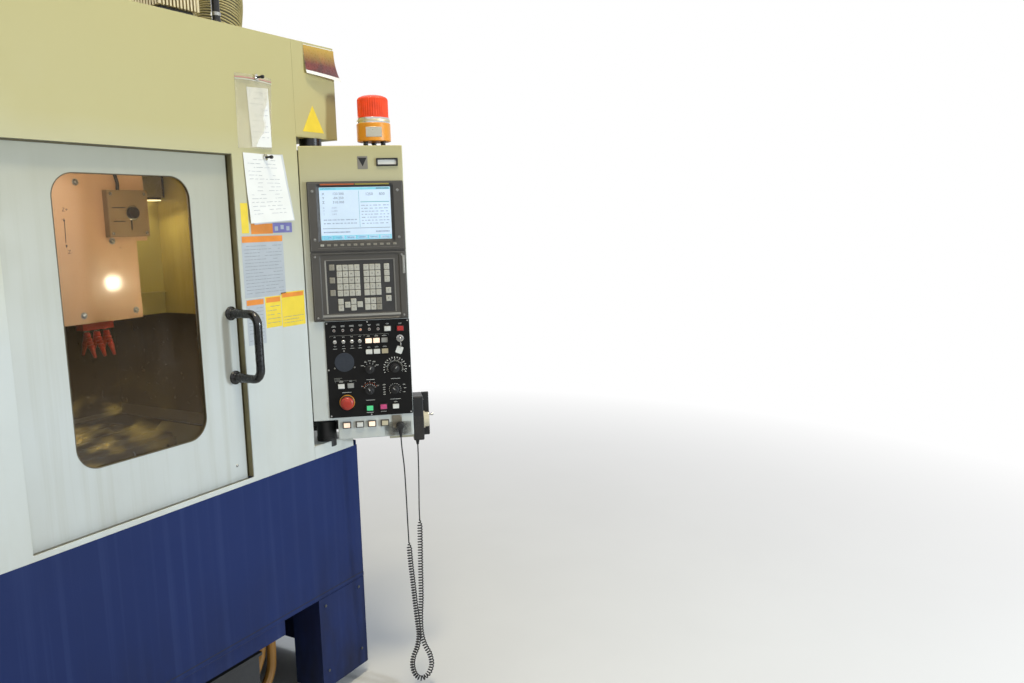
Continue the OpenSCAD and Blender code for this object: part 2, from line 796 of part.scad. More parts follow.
// The sheets of one side, drawn on the right with its outer face at x1 and the covers' side at x0
module base_side(x1, x0, gap_x) {
  leg_top = apron_z - 2;
  y0 = y_front + sheet_t + seat_gap;
  inner = x1 - sheet_t - seat_gap;
  leg = x1 - leg_w;
  rear_y = base_back - sheet_t;
  deck_y = y_back - 10;
  slab(x1 - sheet_t, x1, y0, base_back, skirt_z, base_h + rim_h);
  slab(x0 - 17, inner, y_front + 61, deck_y - seat_gap, base_h - sheet_t, base_h);
  difference() {
    slab(leg, x1, y_front, y_front + sheet_t, skirt_z, leg_top);
    for (z = [leg_top - 30, skirt_z + 60]) translate([leg + 30, y_front - 1, z]) bar_y(4, 3);
  }
  slab(leg, leg + sheet_t, y0, y0 + leg_d, skirt_z, leg_top);
  slab(gap_x, inner, rear_y, base_back, skirt_z, base_h);
  slab(gap_x, inner, deck_y, rear_y - seat_gap, base_h - sheet_t, base_h);
  slab(column_w / 2 + 4, gap_x - seat_gap, deck_y, cabinet_y - 4, base_h - sheet_t, base_h);
}

module base_side_covers() {
  gap_x = cabinet_w / 2 + 10;
  color(blue) {
    base_side(base_right, x_right, gap_x);
    mirror([1, 0, 0]) base_side(-base_left, -x_left, gap_x);
    slab(-gap_x + seat_gap, gap_x - seat_gap, base_back - sheet_t, base_back, skirt_z, way_z - 10);
  }
}

// Cream covers

module front_panel() {
  y1 = y_front + sheet_t;
  stop_y = door_y - door_gap;
  color(cream) {
    difference() {
      slab(x_left, crease_x, y_front, y1, base_h, enclosure_h);
      slab(opening_left, door_jamb_x, y_front - 1, y1 + 1, sill_z, lintel_z);
    }
    slab(door_jamb_x, door_jamb_x + sheet_t, y1, door_back + 6, sill_z, lintel_z);
    slab(opening_left - sheet_t, opening_left, y1, stop_y, sill_z, lintel_z);
    slab(opening_left - sheet_t, door_jamb_x + sheet_t, y1, stop_y, lintel_z, lintel_z + sheet_t);
  }
}

module corner_panel() {
  x0 = crease_x + seat_gap;
  y1 = y_front + sheet_t;
  inside_y = recess_back - sheet_t - seat_gap;
  color(cream) {
    slab(x0, x_right, y_front, y1, base_h, recess_z - sheet_t - seat_gap);
    slab(x0, x_right, y_front, y1, recess_top + sheet_t + seat_gap, enclosure_h);
    slab(crease_x - sheet_t, crease_x, y1 + seat_gap, recess_back, recess_z - sheet_t, recess_top + sheet_t);
    slab(x0, x_right, recess_back - sheet_t, recess_back, recess_z - sheet_t, recess_top + sheet_t);
    slab(x0, x_right, y_front, inside_y, recess_z - sheet_t, recess_z);
    slab(x0, x_right, y_front, inside_y, recess_top, recess_top + sheet_t);
  }
}

module side_roof_panels() {
  y1 = y_front + sheet_t;
  hole = roof_gap_w / 2;
  column_side = column_w / 2 + sheet_t;
  side_y = recess_back + seat_gap;
  side_top = roof_z - seat_gap;
  rear_y = y_back - sheet_t;
  x1 = x_right - sheet_t;
  x0 = x_left + sheet_t;
  color(cream) {
    slab(x1, x_right, side_y, y_back, base_h, side_top);
    slab(x1, x_right, y1 + seat_gap, recess_back, base_h, recess_z - sheet_t - seat_gap);
    slab(x1, x_right, y1 + seat_gap, recess_back, recess_top + sheet_t + seat_gap, side_top);
    slab(x_left, x0, y1, y_back, base_h, side_top);
    slab(x0 + seat_gap, -column_side, rear_y, y_back, base_h, side_top);
    slab(column_side, x1 - seat_gap, rear_y, y_back, base_h, side_top);
    slab(x_left, x_right, y1, roof_gap_y, roof_z, enclosure_h);
    slab(x_left, -hole, roof_gap_y + seat_gap, y_back, roof_z, enclosure_h);
    slab(hole, x_right, roof_gap_y + seat_gap, y_back, roof_z, enclosure_h);
  }
}

module chamber_liner() {
  guard_x = crease_x - 10;
  guard_y = spindle_y + 90;
  guard_z = head_z - 20;
  ledge_z = guard_z + 75;
  back_x = cover_right + 20;
  trough_y = door_back + 5;
  color([0.86, 0.8, 0.5]) {
    slab(guard_x - sheet_t, guard_x, door_back + 6, guard_y, guard_z, roof_z);
    slab(back_x, guard_x - sheet_t - seat_gap, guard_y - sheet_t, guard_y, guard_z, roof_z);
    slab(back_x, guard_x - sheet_t - seat_gap, guard_y - sheet_t - 14, guard_y - sheet_t - seat_gap,
      ledge_z, ledge_z + sheet_t);
  }
  color(steel) {
    for (s = [0, 1]) {
      edge = (s == 0 ? x_right : -x_left) - sheet_t;
      mirror([s, 0, 0]) translate([0, -20, 0]) rotate([90, 0, 0]) linear_extrude(-20 - trough_y) polygon([
        [chute_x - 20, bed_h], [chute_x + 10, bed_h], [edge - 10, sill], [edge, sill],
        [edge, sill + sheet_t], [edge - 12, sill + sheet_t], [chute_x + 8, bed_h + sheet_t], [chute_x - 20, bed_h + sheet_t]
      ]);
    }
    slab(-chute_x + 21, chute_x - 21, trough_y, bed_y0 + 12, bed_h, bed_h + sheet_t);
    slab(-chute_x + 21, chute_x - 21, trough_y - sheet_t - seat_gap, trough_y - seat_gap, bed_h, sill + sheet_t);
  }
}

module door_tracks() {
  x0 = x_left + 15;
  rib = 4;
  rib_y = door_y + door_t / 2;
  rail_y1 = door_rail_y + door_rail_w;
  color(steel) {
    slab(x0, door_jamb_x, y_front + 4, y_front + 60, base_h, base_h + sheet_t);
    slab(x0, door_jamb_x, rib_y - rib / 2, rib_y + rib / 2, base_h + sheet_t, base_h + sheet_t + 9);
    slab(x0, door_jamb_x, door_rail_y, rail_y1, door_rail_top - door_rail_h, door_rail_top);
    for (i = [0:3]) translate([x0 + 20 + i * (door_jamb_x - x0 - 80) / 3, 0, 0])
      slab(0, 40, rail_y1, rail_y1 + 6, door_rail_top - door_rail_h, roof_z);
  }
}

module work_lamp() {
  x0 = cover_right + 45;
  x1 = crease_x - 10 - sheet_t - 6;
  y1 = spindle_y + 90 - sheet_t;
  lens_top = cover_top - 78;
  color(plastic_gray) {
    slab(x0, x1, y1 - 48, y1, lens_top, lens_top + 73);
    slab(x0 + 10, x1 - 10, y1 - 42, y1 - 6, lens_top - 8, lens_top);
  }
}

// Door

module door() {
  rib_y = door_y + door_t / 2;
  color(cream) {
    difference() {
      slab(door_left, door_right, door_y, door_back, door_bottom, door_top_z);
      difference() {
        slab(door_left + sheet_t, door_right - sheet_t, door_y + sheet_t, door_back + 1, door_bottom + 16, door_top_z - sheet_t);
        translate([window_mid_x, 0, window_mid_z]) upright(door_y, door_t)
          round_rect(window_w + 80, window_h + 80, window_r + 40);
      }
      translate([window_mid_x, 0, window_mid_z]) upright(door_y - 1, door_t + 2) round_rect(window_w, window_h, window_r);
      translate([window_mid_x, 0, window_mid_z]) upright(door_y + 5, door_t) round_rect(window_w + 36, window_h + 36, window_r + 18);
      slab(door_left - 1, door_right + 1, rib_y - 3, rib_y + 3, door_bottom - 1, door_bottom + 10);
    }
    for (x = [door_left + 60, door_right - 120]) {
      slab(x, x + 60, door_back - 1, door_rail_y + door_rail_w - 1, door_rail_top + seat_gap, door_top_z);
    }
  }
}

module door_window() {
  color([0.55, 0.5, 0.4, 0.5]) translate([window_mid_x, 0, window_mid_z])
    upright(door_y + 5, pane_t) round_rect(window_w + 34, window_h + 34, window_r + 17);
}

module door_handle() {
  r = handle_d / 2;
  bend = 30;
  z0 = handle_z - handle_span / 2;
  z1 = handle_z + handle_span / 2;
  bar_len = handle_span - 2 * bend;
  color(dark) translate([handle_x, door_y, 0]) {
    for (z = [z0, z1]) {
      translate([0, -handle_reach + bend, z]) bar_y(r, handle_reach - bend);
      translate([0, -5, z]) bar_y(r + 8, 5);
    }
    translate([0, -handle_reach, z0 + bend]) cylinder(r = r, h = bar_len);
    translate([0, -handle_reach + bend, z0 + bend]) rotate([-90, 0, 0]) rotate([0, 90, 0])
      rotate_extrude(angle = 90) translate([bend, 0]) circle(r);
    translate([0, -handle_reach + bend, z1 - bend]) rotate([90, 0, 0]) rotate([0, -90, 0])
      rotate_extrude(angle = 90) translate([bend, 0]) circle(r);
  }
}

// Electrical cabinet and coolant

module electrical_cabinet() {
  t = cabinet_sheet;
  z0 = way_z;
  z1 = way_z + cabinet_h;
  w = cabinet_w / 2;
  color(cream) {
    difference() {
      slab(-w, w, cabinet_y, cabinet_back, z0, z1);
      slab(-w + t, w - t, cabinet_y + t, cabinet_back + 1, z0 + t, z1 - t);
    }
    slab(-w + 60, w - 60, cabinet_y + t, cabinet_y + 2 * t, z0 + 60, z1 - 60);
  }
  color(plastic_gray) for (i = [0:4], j = [0:1]) {
    translate([-w + 110 + i * (cabinet_w - 220) / 5, cabinet_y + 2 * t, z0 + 180 + j * 480]) cube([80, 90, 220]);
  }
}

module cabinet_door() {
  w = cabinet_w / 2 - 2;
  y0 = cabinet_back + seat_gap;
  z0 = way_z + 4;
  z1 = way_z + cabinet_h - 4;
  color(cream) {
    difference() {
      slab(-w, w, y0, y0 + cabinet_door_t, z0, z1);
      slab(-w + 20, w - 20, y0 - 1, y0 + cabinet_door_t - sheet_t, z0 + 20, z1 - 20);
    }
    for (z = [z0 + 150, z1 - 250]) translate([w, y0 + cabinet_door_t - 1, z]) cylinder(r = 8, h = 100);
    for (x = [-w + 40]) slab(x, x + 30, y0 + cabinet_door_t, y0 + cabinet_door_t + 22, way_z + cabinet_h / 2 - 70, way_z + cabinet_h / 2 + 70);
  }
}

module main_switch() {
  y0 = cabinet_back + seat_gap + cabinet_door_t + seat_gap;
  color("red") translate([switch_x, y0, switch_z]) {
    bar_y(28, 10);
    translate([-8, 9, -32]) cube([16, 20, 64]);
  }
}

module coolant_tank() {
  x0 = tank_left;
  x1 = tank_x;
  y0 = y_front + 40;
  y1 = bed_y0 - 25;
  color([0.2, 0.22, 0.25]) {
    difference() {
      slab(x0, x1, y0, y1, 40, 280 - seat_gap);
      slab(x0 + sheet_t, x1 - sheet_t, y0 + sheet_t, y1 - sheet_t, 40 + sheet_t, 281);
    }
    slab(x0 - 8, x1 + 8, y0 - 8, y1 + 8, 280, 290);
    for (x = [x0 + 60, x1 - 100]) slab(x, x + 40, y0 + 10, y1 - 10, 0, 41);
  }
}

// A hose's path with a straight start at the tank and a straight end under its outlet
function hose_path(route, top) = let (last = route[len(route) - 1])
  concat([[tank_x + seat_gap, hose_y, route[0][2]]], smooth_path(route, 4), [[last[0], hose_y, top]]);

module coolant_hoses() {
  color([0.5, 0.36, 0.12]) {
    swept_tube(hose_path(hose_a, bed_h - seat_gap), [hose_r], 12);
    swept_tube(hose_path(hose_b, hose_b_top), [hose_r], 12);
  }
}

// Roof

// A finned blower motor on a dark neck, and a capped vent pipe beside it
module roof_motor() {
  w = blower_w;
  neck_h = 62;
  fins_h = 200;
  color(steel) {
    translate([blower_at[0], blower_at[1], enclosure_h]) {
      linear_extrude(neck_h) round_rect(w - 26, w - 26, 8);
      translate([0, 0, neck_h]) linear_extrude(fins_h) difference() {
        round_rect(w, w, 6);
        for (a = [0:90:270], i = [-5:5]) rotate(a) translate([i * 12, w / 2]) square([5, 16], center = true);
      }
      translate([0, 0, neck_h + fins_h]) linear_extrude(24) round_rect(w - 6, w - 6, 12);
    }
    translate([vent_at[0], vent_at[1], enclosure_h]) {
      cylinder(r = 25, h = 20);
      translate([0, 0, 20]) cylinder(r1 = 25, r2 = 13, h = 44);
      cylinder(r = 12.5, h = 270);
      translate([0, 0, 262]) cylinder(r = 19, h = 26);
    }
  }
}

module roof_conduit() {
  bend = [[0, 0, 20], [18, 0, 80], [38, 14, 150], [56, 56, 205], [74, 126, 232], [92, 200, 215], [108, 250, 150],
    [112, 274, 80], [112, 280, 20]];
  last = bend[len(bend) - 1];
  route = concat([[0, 0, seat_gap]], smooth_path(bend, 5), [[last[0], last[1], seat_gap]]);
  color([0.7, 0.62, 0.36]) translate([duct_at[0], duct_at[1], enclosure_h + 18]) {
    swept_tube(route, [duct_r - 6, duct_r], 16, [1, 0, 0]);
    for (p = [bend[0], last]) translate([p[0], p[1], -18]) cylinder(r = duct_r + 6, h = 18);
  }
}

// Operator panel

module pendant_post() {
  color(dark) at_panel() translate([post_x, post_depth, 0]) {
    translate([0, 0, recess_z]) cylinder(r = post_r, h = recess_h);
    translate([0, 0, recess_z]) cylinder(r = post_r + 14, h = 12);
    translate([0, 0, housing_z + notch_h - 16]) cylinder(r = post_r + 9, h = 16 - seat_gap);
    translate([0, 0, housing_top + 3]) cylinder(r = post_inset - 1, h = recess_top - housing_top - 3);
  }
}

// The housing's outline less its notch, drawn in by t and standing from y0 to y1
module housing_block(t, y0, y1) {
  difference() {
    slab(housing_x + t, housing_right - t, y0, y1, housing_z + t, housing_top - t);
    slab(housing_x - 1, housing_x + notch_w + t, y0 - 1, y1 + 1, housing_z - 1, housing_z + notch_h + t);
  }
}

module pendant_housing() {
  t = sheet_t;
  sleeve_z = housing_z + notch_h;
  color(cream) at_panel() {
    difference() {
      union() {
        difference() {
          housing_block(0, 0, housing_d);
          housing_block(t, t, housing_d + 1);
        }
        translate([post_x, post_depth, sleeve_z]) cylinder(r = post_r + 7, h = housing_top - sleeve_z);
      }
      translate([post_x, post_depth, housing_z]) cylinder(r = post_r + running_gap, h = housing_h + 1);
    }
    housing_block(t + seat_gap, housing_d - t, housing_d);
  }
}

// A unit's frame with a stepped rim
module unit_frame(z) {
  slab(unit_x, unit_x + unit_w, -unit_t + 3, 0, z, z + unit_h - seat_gap);
  slab(unit_x + 4, unit_x + unit_w - 4, -unit_t, -unit_t + 4, z + 4, z + unit_h - 4);
}

module display_unit() {
  color(plastic_gray) at_panel() difference() {
    unit_frame(display_z);
    slab(screen_x, screen_x + screen_w, -unit_t - 1, -unit_t + screen_depth, screen_z, screen_z + screen_h);
  }
}

module display_screen() {
  y1 = -unit_t + screen_depth;
  color([0.7, 0.85, 0.95]) at_panel()
    slab(screen_x + seat_gap, screen_x + screen_w - seat_gap, y1 - 3, y1, screen_z + seat_gap, screen_z + screen_h - seat_gap);
}

key_field = [unit_x + 47, keyboard_z + 24, 210, 168];

module keyboard_unit() {
  color(plastic_gray) at_panel() difference() {
    unit_frame(keyboard_z);
    slab(key_field[0], key_field[0] + key_field[2], -unit_t - 1, -unit_t + 4,
      key_field[1], key_field[1] + key_field[3]);
  }
}

// A block of keys, given by its lower left corner, columns, rows and pitch
module key_block(x, z, columns, rows, pitch) {
  key = [17, 2.5, 18.8];
  for (i = [0:columns - 1], j = [0:rows - 1]) {
    translate([x + i * pitch[0], 0, z + j * pitch[1]]) cube(key);
  }
}

module key_caps() {
  pitch = [18.4, 20.3];
  soft_keys = 12;
  color(white) at_panel() {
    translate([key_field[0], -unit_t + 4 - 2.5, key_field[1]]) {
      for (z = [57, 97, 138]) key_block(8, z, 1, 1, pitch);
      key_block(31, 55, 4, 5, pitch);
      key_block(115, 55, 3, 5, pitch);
      key_block(180, 96, 1, 3, pitch);
      for (z = [34, 60]) key_block(183, z, 1, 1, pitch);
      key_block(31, 8, 1, 2, pitch);
      for (p = [[52, 18], [71, 28], [71, 8], [91, 18]]) key_block(p[0], p[1], 1, 1, pitch);
      key_block(115, 8, 3, 2, pitch);
    }
    for (i = [0:soft_keys - 1]) {
      translate([screen_x - 4 + i * 20.6, -unit_t - 1.5, display_z + 19]) cube([11, 1.5, 6]);
    }
  }
}

// A frame round a push button, deep enough for its travel
module button_frame(p) {
  on_plate(p) difference() {
    slab(-button_w / 2 - frame_rim, button_w / 2 + frame_rim, -6, 0, -button_h / 2 - frame_rim, button_h / 2 + frame_rim);
    slab(-button_w / 2, button_w / 2, -7, 1, -button_h / 2, button_h / 2);
  }
}

module push_button(p) {
  w = button_w / 2 - seat_gap;
  h = button_h / 2 - seat_gap;
  at_panel() on_plate(p) slab(-w, w, -button_travel - 6, -button_travel - seat_gap, -h, h);
}

module control_panel() {
  color(dark) at_panel() {
    slab(plate_x, plate_x + plate_w, -plate_t, 0, plate_z, plate_z + plate_h);
    for (p = [power_on_at, power_off_at, start_at, hold_at]) button_frame(p);
    on_plate(stop_at) difference() {
      translate([0, -8, 0]) bar_y(stop_r - 3, 8);
      translate([0, -9, 0]) bar_y(10, 10);
    }
    for (p = [mode_at, spindle_at, feed_at, rapid_at]) on_plate(p) translate([0, -1, 0]) bar_y(knob_r + 4, 1);
    on_plate(key_at) translate([0, -5, 0]) bar_y(9, 5);
    on_plate(cover_at) translate([0, -1.5, 0]) bar_y(31, 1.5);
    for (x = lamp_at) on_plate([x, lamp_z]) translate([0, -2, 0]) bar_y(3, 2);
  }
}

module panel_buttons() {
  w = button_w / 2;
  h = button_h / 2;
  color(white) at_panel() {
    for (p = white_at) on_plate(p) slab(-w, w, -6, 0, -h, h);
    for (x = lit_at) translate([x, 0, strip_z]) {
      slab(-14, 14, -4, 0, -11, 11);
      slab(-10, 10, -9, -3, -7.5, 7.5);
    }
  }
}

module toggle_switches() {
  color(steel) at_panel() for (x = toggle_at) on_plate([x, toggle_z]) {
    translate([0, -4, 0]) bar_y(6.5, 4);
    rotate([-16, 0, 0]) translate([0, -20, 0]) rotate([-90, 0, 0]) cylinder(r1 = 3, r2 = 2, h = 17);
  }
}

module power_on_button() {
  color(white) push_button(power_on_at);
}
module power_off_button() {
  color("crimson") push_button(power_off_at);
}
module cycle_start_button() {
  color([0.43, 0.9, 0.63]) push_button(start_at);
}
module feed_hold_button() {
  color([0.8, 0.3, 0.5]) push_button(hold_at);
}

module e_stop_button() {
  color([0.8, 0.24, 0.18]) at_panel() on_plate(stop_at) {
    translate([0, -8 - stop_travel - seat_gap - 1, 0]) bar_y(10 - seat_gap, 9);
    translate([0, -8 - stop_travel - seat_gap, 0]) rotate([90, 0, 0])
      rotate_extrude() polygon([[0, 0], [stop_r - 4, 0], [stop_r, 4], [stop_r, 8], [stop_r - 3, 12], [stop_r - 9, 15], [0, 16]]);
  }
}

// A selector knob with a pointer bar
module selector_knob(p, turn) {
  color(dark) at_panel() on_plate(p) translate([0, -1 - seat_gap, 0]) rotate([90, 0, 0]) {
    cylinder(r = knob_r, h = 8);
    rotate(turn) translate([-3, -knob_r, 7]) cube([6, 2 * knob_r, 9]);
  }
}

module mode_knob() {
  selector_knob(mode_at, 20);
}
module spindle_knob() {
  selector_knob(spindle_at, -25);
}
module feed_knob() {
  selector_knob(feed_at, 35);
}
module rapid_knob() {
  selector_knob(rapid_at, -40);
}

module panel_key() {
  color(steel) at_panel() on_plate(key_at) translate([0, -5 - seat_gap, 0]) {
    slab(-1.2, 1.2, -14, 0, -4, 4);
    slab(-1.2, 1.2, -32, -13, -10, 10);
    translate([0, -28, -17]) rotate([0, 90, 0]) rotate_extrude() translate([9, 0]) circle(1, $fn = 16);
    slab(-14, 6, -28.4, -27.6, -47, -25);
  }
}

module cord_plug() {
  color(dark) at_panel() {
    slab(plug_x - 25, plug_x + 6, -4, 0, plug_z - 8, plug_z + 34);
    translate([plug_x, -28, plug_z]) bar_y(11, 25);
    translate([plug_x, -19, plug_z - 36]) cylinder(r1 = 4, r2 = 7, h = 30);
  }
}

module mpg_body() {
  color(dark) at_panel() {
    slab(mpg_x, mpg_x + mpg_t, mpg_y - mpg_w / 2, mpg_y + mpg_w / 2, mpg_z, mpg_z + mpg_h);
    slab(mpg_x + mpg_t - 1, mpg_x + mpg_t + 24, mpg_y + wheel_r + 3, mpg_y + wheel_r + 13, mpg_z, mpg_z + mpg_h);
    slab(mpg_x - 80, mpg_x + 1, mpg_y - 40, mpg_y + 40, housing_z - 12, housing_z);
    translate([mpg_x + 14, mpg_y, mpg_z - 23]) cylinder(r1 = 4, r2 = 8, h = 23);
  }
}

module mpg_wheel() {
  color(white) at_panel() translate([wheel_x, mpg_y, wheel_z]) {
    bar_x(wheel_r, 6);
    translate([5, 0, 0]) bar_x(wheel_r - 4, wheel_t - 5);
    translate([wheel_t - 1, 0, crank_offset]) bar_x(5, 17);
  }
}

module beacon_base() {
  color(amber) at_panel() translate([beacon_x, beacon_y, 0]) {
    for (a = [90, 210, 330]) rotate(a) translate([32, 0, housing_top]) cylinder(r = 9, h = foot_h + 1);
    translate([0, 0, beacon_z]) cylinder(r = beacon_r, h = beacon_base_h);
    translate([0, 0, beacon_z + beacon_base_h]) cylinder(r = beacon_r - 2, h = band_h);
  }
}

module beacon_lens() {
  ribs = 30;
  steps = 120;
  color([0.98, 0.3, 0.08]) at_panel() translate([beacon_x, beacon_y, lens_z]) {
    linear_extrude(lens_h - 12) polygon([for (i = [0:steps - 1])
      let (a = 360 * i / steps, r = lens_r - 1 + cos(ribs * a)) r * [cos(a), sin(a)]]);
    translate([0, 0, lens_h - 12]) rotate_extrude()
      polygon([[0, 0], [lens_r - 3, 0], [lens_r - 6, 6], [lens_r - 13, 11], [0, 12]]);
  }
}

module cord_lead() {
  color(dark) at_panel() {
    swept_tube(smooth_path(hung(lead_down), 2), [lead_r], 8);
    swept_tube(smooth_path(hung(lead_up), 2), [lead_r], 8);
  }
}

module cord_coil() {
  color(dark) at_panel() swept_tube(smooth_path(hung(coil_route), 2), [coil_r], 10);
}

leveling_feet();
machine_bed();
column();
axis_motors();
base_front_cover();
base_side_covers();
front_panel();
corner_panel();
side_roof_panels();
chamber_liner();
door_tracks();
work_lamp();
electrical_cabinet();
cabinet_door();
main_switch();
coolant_tank();
coolant_hoses();
roof_motor();
roof_conduit();
saddle();
way_cover();
table();
spindle_head();
head_cover();
spindle_motor();
coolant_nozzles();
tool_release_box();
tool_release_button();
spindle();
magazine_carriage();
magazine_disc();
door();
door_window();
door_handle();
pendant_post();
pendant_housing();
display_unit();
display_screen();
keyboard_unit();
key_caps();
control_panel();
panel_buttons();
toggle_switches();
power_on_button();
power_off_button();
cycle_start_button();
feed_hold_button();
e_stop_button();
mode_knob();
spindle_knob();
feed_knob();
rapid_knob();
panel_key();
cord_plug();
mpg_body();
mpg_wheel();
beacon_base();
beacon_lens();
cord_lead();
cord_coil();
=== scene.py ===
import math
import random
import bpy
import bmesh
from mathutils import Matrix, Vector


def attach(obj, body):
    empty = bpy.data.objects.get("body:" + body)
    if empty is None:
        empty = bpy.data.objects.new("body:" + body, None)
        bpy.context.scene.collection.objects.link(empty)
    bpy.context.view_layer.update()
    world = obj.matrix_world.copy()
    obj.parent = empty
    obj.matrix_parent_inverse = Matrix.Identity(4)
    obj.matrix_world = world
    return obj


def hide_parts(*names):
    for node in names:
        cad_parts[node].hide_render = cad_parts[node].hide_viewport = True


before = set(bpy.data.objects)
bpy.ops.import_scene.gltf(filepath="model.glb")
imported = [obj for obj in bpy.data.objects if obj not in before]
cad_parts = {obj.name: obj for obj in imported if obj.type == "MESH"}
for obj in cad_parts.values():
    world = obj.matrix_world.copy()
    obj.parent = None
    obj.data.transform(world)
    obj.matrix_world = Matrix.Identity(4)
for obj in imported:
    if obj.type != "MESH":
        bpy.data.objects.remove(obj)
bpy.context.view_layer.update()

dice = random.Random(11)
MM = 0.001
OUT, UP, ALONG = (0, -1, 0), (0, 0, 1), (1, 0, 0)

# Planes of the scene's frame, in millimetres
FRONT, DOOR_FACE, HEAD_FACE, ROOF = -1000, -978, -620, 2167

# The operator panel's own frame, in millimetres: X along its face, Y into it
PANEL = Matrix.Translation((518, -1000, 0)) @ Matrix.Rotation(math.radians(-49.7), 4, "Z")
FACE_Z = 907
RIGHT = 324


# Camera

def put_in_scene(name, data):
    made = bpy.data.objects.new(name, data)
    bpy.context.scene.collection.objects.link(made)
    return made


def make_camera():
    pitch, roll, yaw = 0.14183846, 0.02536568, 0.5231982
    ahead = Vector((math.cos(pitch) * math.cos(yaw), math.cos(pitch) * math.sin(yaw), -math.sin(pitch)))
    right = Vector((math.sin(yaw), -math.cos(yaw), 0))
    down = ahead.cross(right)
    c, s = math.cos(roll), math.sin(roll)
    right, down = c * right + s * down, c * down - s * right
    data = bpy.data.cameras.new("camera")
    data.sensor_width = 36
    focal_pixels, photo_width = 840.7, 1024
    data.lens = focal_pixels / photo_width * data.sensor_width
    data.clip_start = 0.05
    data.clip_end = 60
    camera = put_in_scene("camera", data)
    turn = Matrix((right, -down, -ahead)).transposed().to_4x4()
    camera.matrix_world = Matrix.Translation((-1.465, -2.896, 1.600)) @ turn
    bpy.context.scene.camera = camera


make_camera()


# Material graphs; a colour is given as red, green and blue from 0 to 255

def rgb(r, g, b):
    def linear(c):
        c = c / 255
        return c / 12.92 if c <= 0.04045 else ((c + 0.055) / 1.055) ** 2.4
    return (linear(r), linear(g), linear(b), 1.0)


class Graph:
    """A node material under construction, with its noise read in the object's own coordinates."""

    def __init__(self, name):
        self.material = bpy.data.materials.new(name)
        self.material.use_nodes = True
        self.tree = self.material.node_tree
        self.tree.nodes.clear()
        self.out = self.node("ShaderNodeOutputMaterial")
        self.where = self.node("ShaderNodeTexCoord").outputs["Object"]

    def node(self, kind, **values):
        made = self.tree.nodes.new(kind)
        for key, value in values.items():
            setattr(made, key, value)
        return made

    def put(self, socket, value):
        if isinstance(value, bpy.types.NodeSocket):
            self.tree.links.new(value, socket)
        else:
            socket.default_value = value

    def noise(self, scale, detail=4.0, stretch=None, rough=0.55):
        n = self.node("ShaderNodeTexNoise")
        n.inputs["Scale"].default_value = scale
        n.inputs["Detail"].default_value = detail
        n.inputs["Roughness"].default_value = rough
        source = self.where
        if stretch:
            m = self.node("ShaderNodeMapping")
            m.inputs["Scale"].default_value = stretch
            self.put(m.inputs["Vector"], self.where)
            source = m.outputs["Vector"]
        self.put(n.inputs["Vector"], source)
        return n.outputs["Fac"]

    def span(self, value, low, high, a, b):
        n = self.node("ShaderNodeMapRange")
        n.clamp = True
        sockets = ("Value", "From Min", "From Max", "To Min", "To Max")
        for socket, number in zip(sockets, (value, low, high, a, b)):
            self.put(n.inputs[socket], number)
        return n.outputs["Result"]

    def math(self, what, a, b):
        n = self.node("ShaderNodeMath", operation=what)
        self.put(n.inputs[0], a)
        self.put(n.inputs[1], b)
        return n.outputs[0]

    def mix(self, factor, a, b):
        n = self.node("ShaderNodeMix", data_type="RGBA")
        for socket, value in ((0, factor), (6, a), (7, b)):
            self.put(n.inputs[socket], value)
        return n.outputs[2]

    def vector(self, what, a, b=(0, 0, 0)):
        n = self.node("ShaderNodeVectorMath", operation=what)
        self.put(n.inputs[0], a)
        self.put(n.inputs[1], b)
        return n.outputs["Value"]

    def relief(self, strength, depth, height, under=None):
        """Small bumps over the surface, or over the normal given as under."""
        n = self.node("ShaderNodeBump")
        n.inputs["Strength"].default_value = strength
        n.inputs["Distance"].default_value = depth
        self.put(n.inputs["Height"], self.noise(*height))
        if under:
            self.put(n.inputs["Normal"], under)
        return n.outputs[0]

    def axis(self, letter):
        n = self.node("ShaderNodeSeparateXYZ")
        self.put(n.inputs[0], self.where)
        return n.outputs[letter]


def shade(colour, factor):
    return tuple(min(1.0, c * factor) for c in colour[:3]) + (1.0,)


def both_sides(colour, spread):
    """The colour a little darker and a little lighter."""
    return shade(rgb(*colour), 1 - spread), shade(rgb(*colour), 1 + spread)


def principled(name):
    g = Graph(name)
    b = g.node("ShaderNodeBsdfPrincipled")
    g.put(g.out.inputs["Surface"], b.outputs[0])
    return g, b


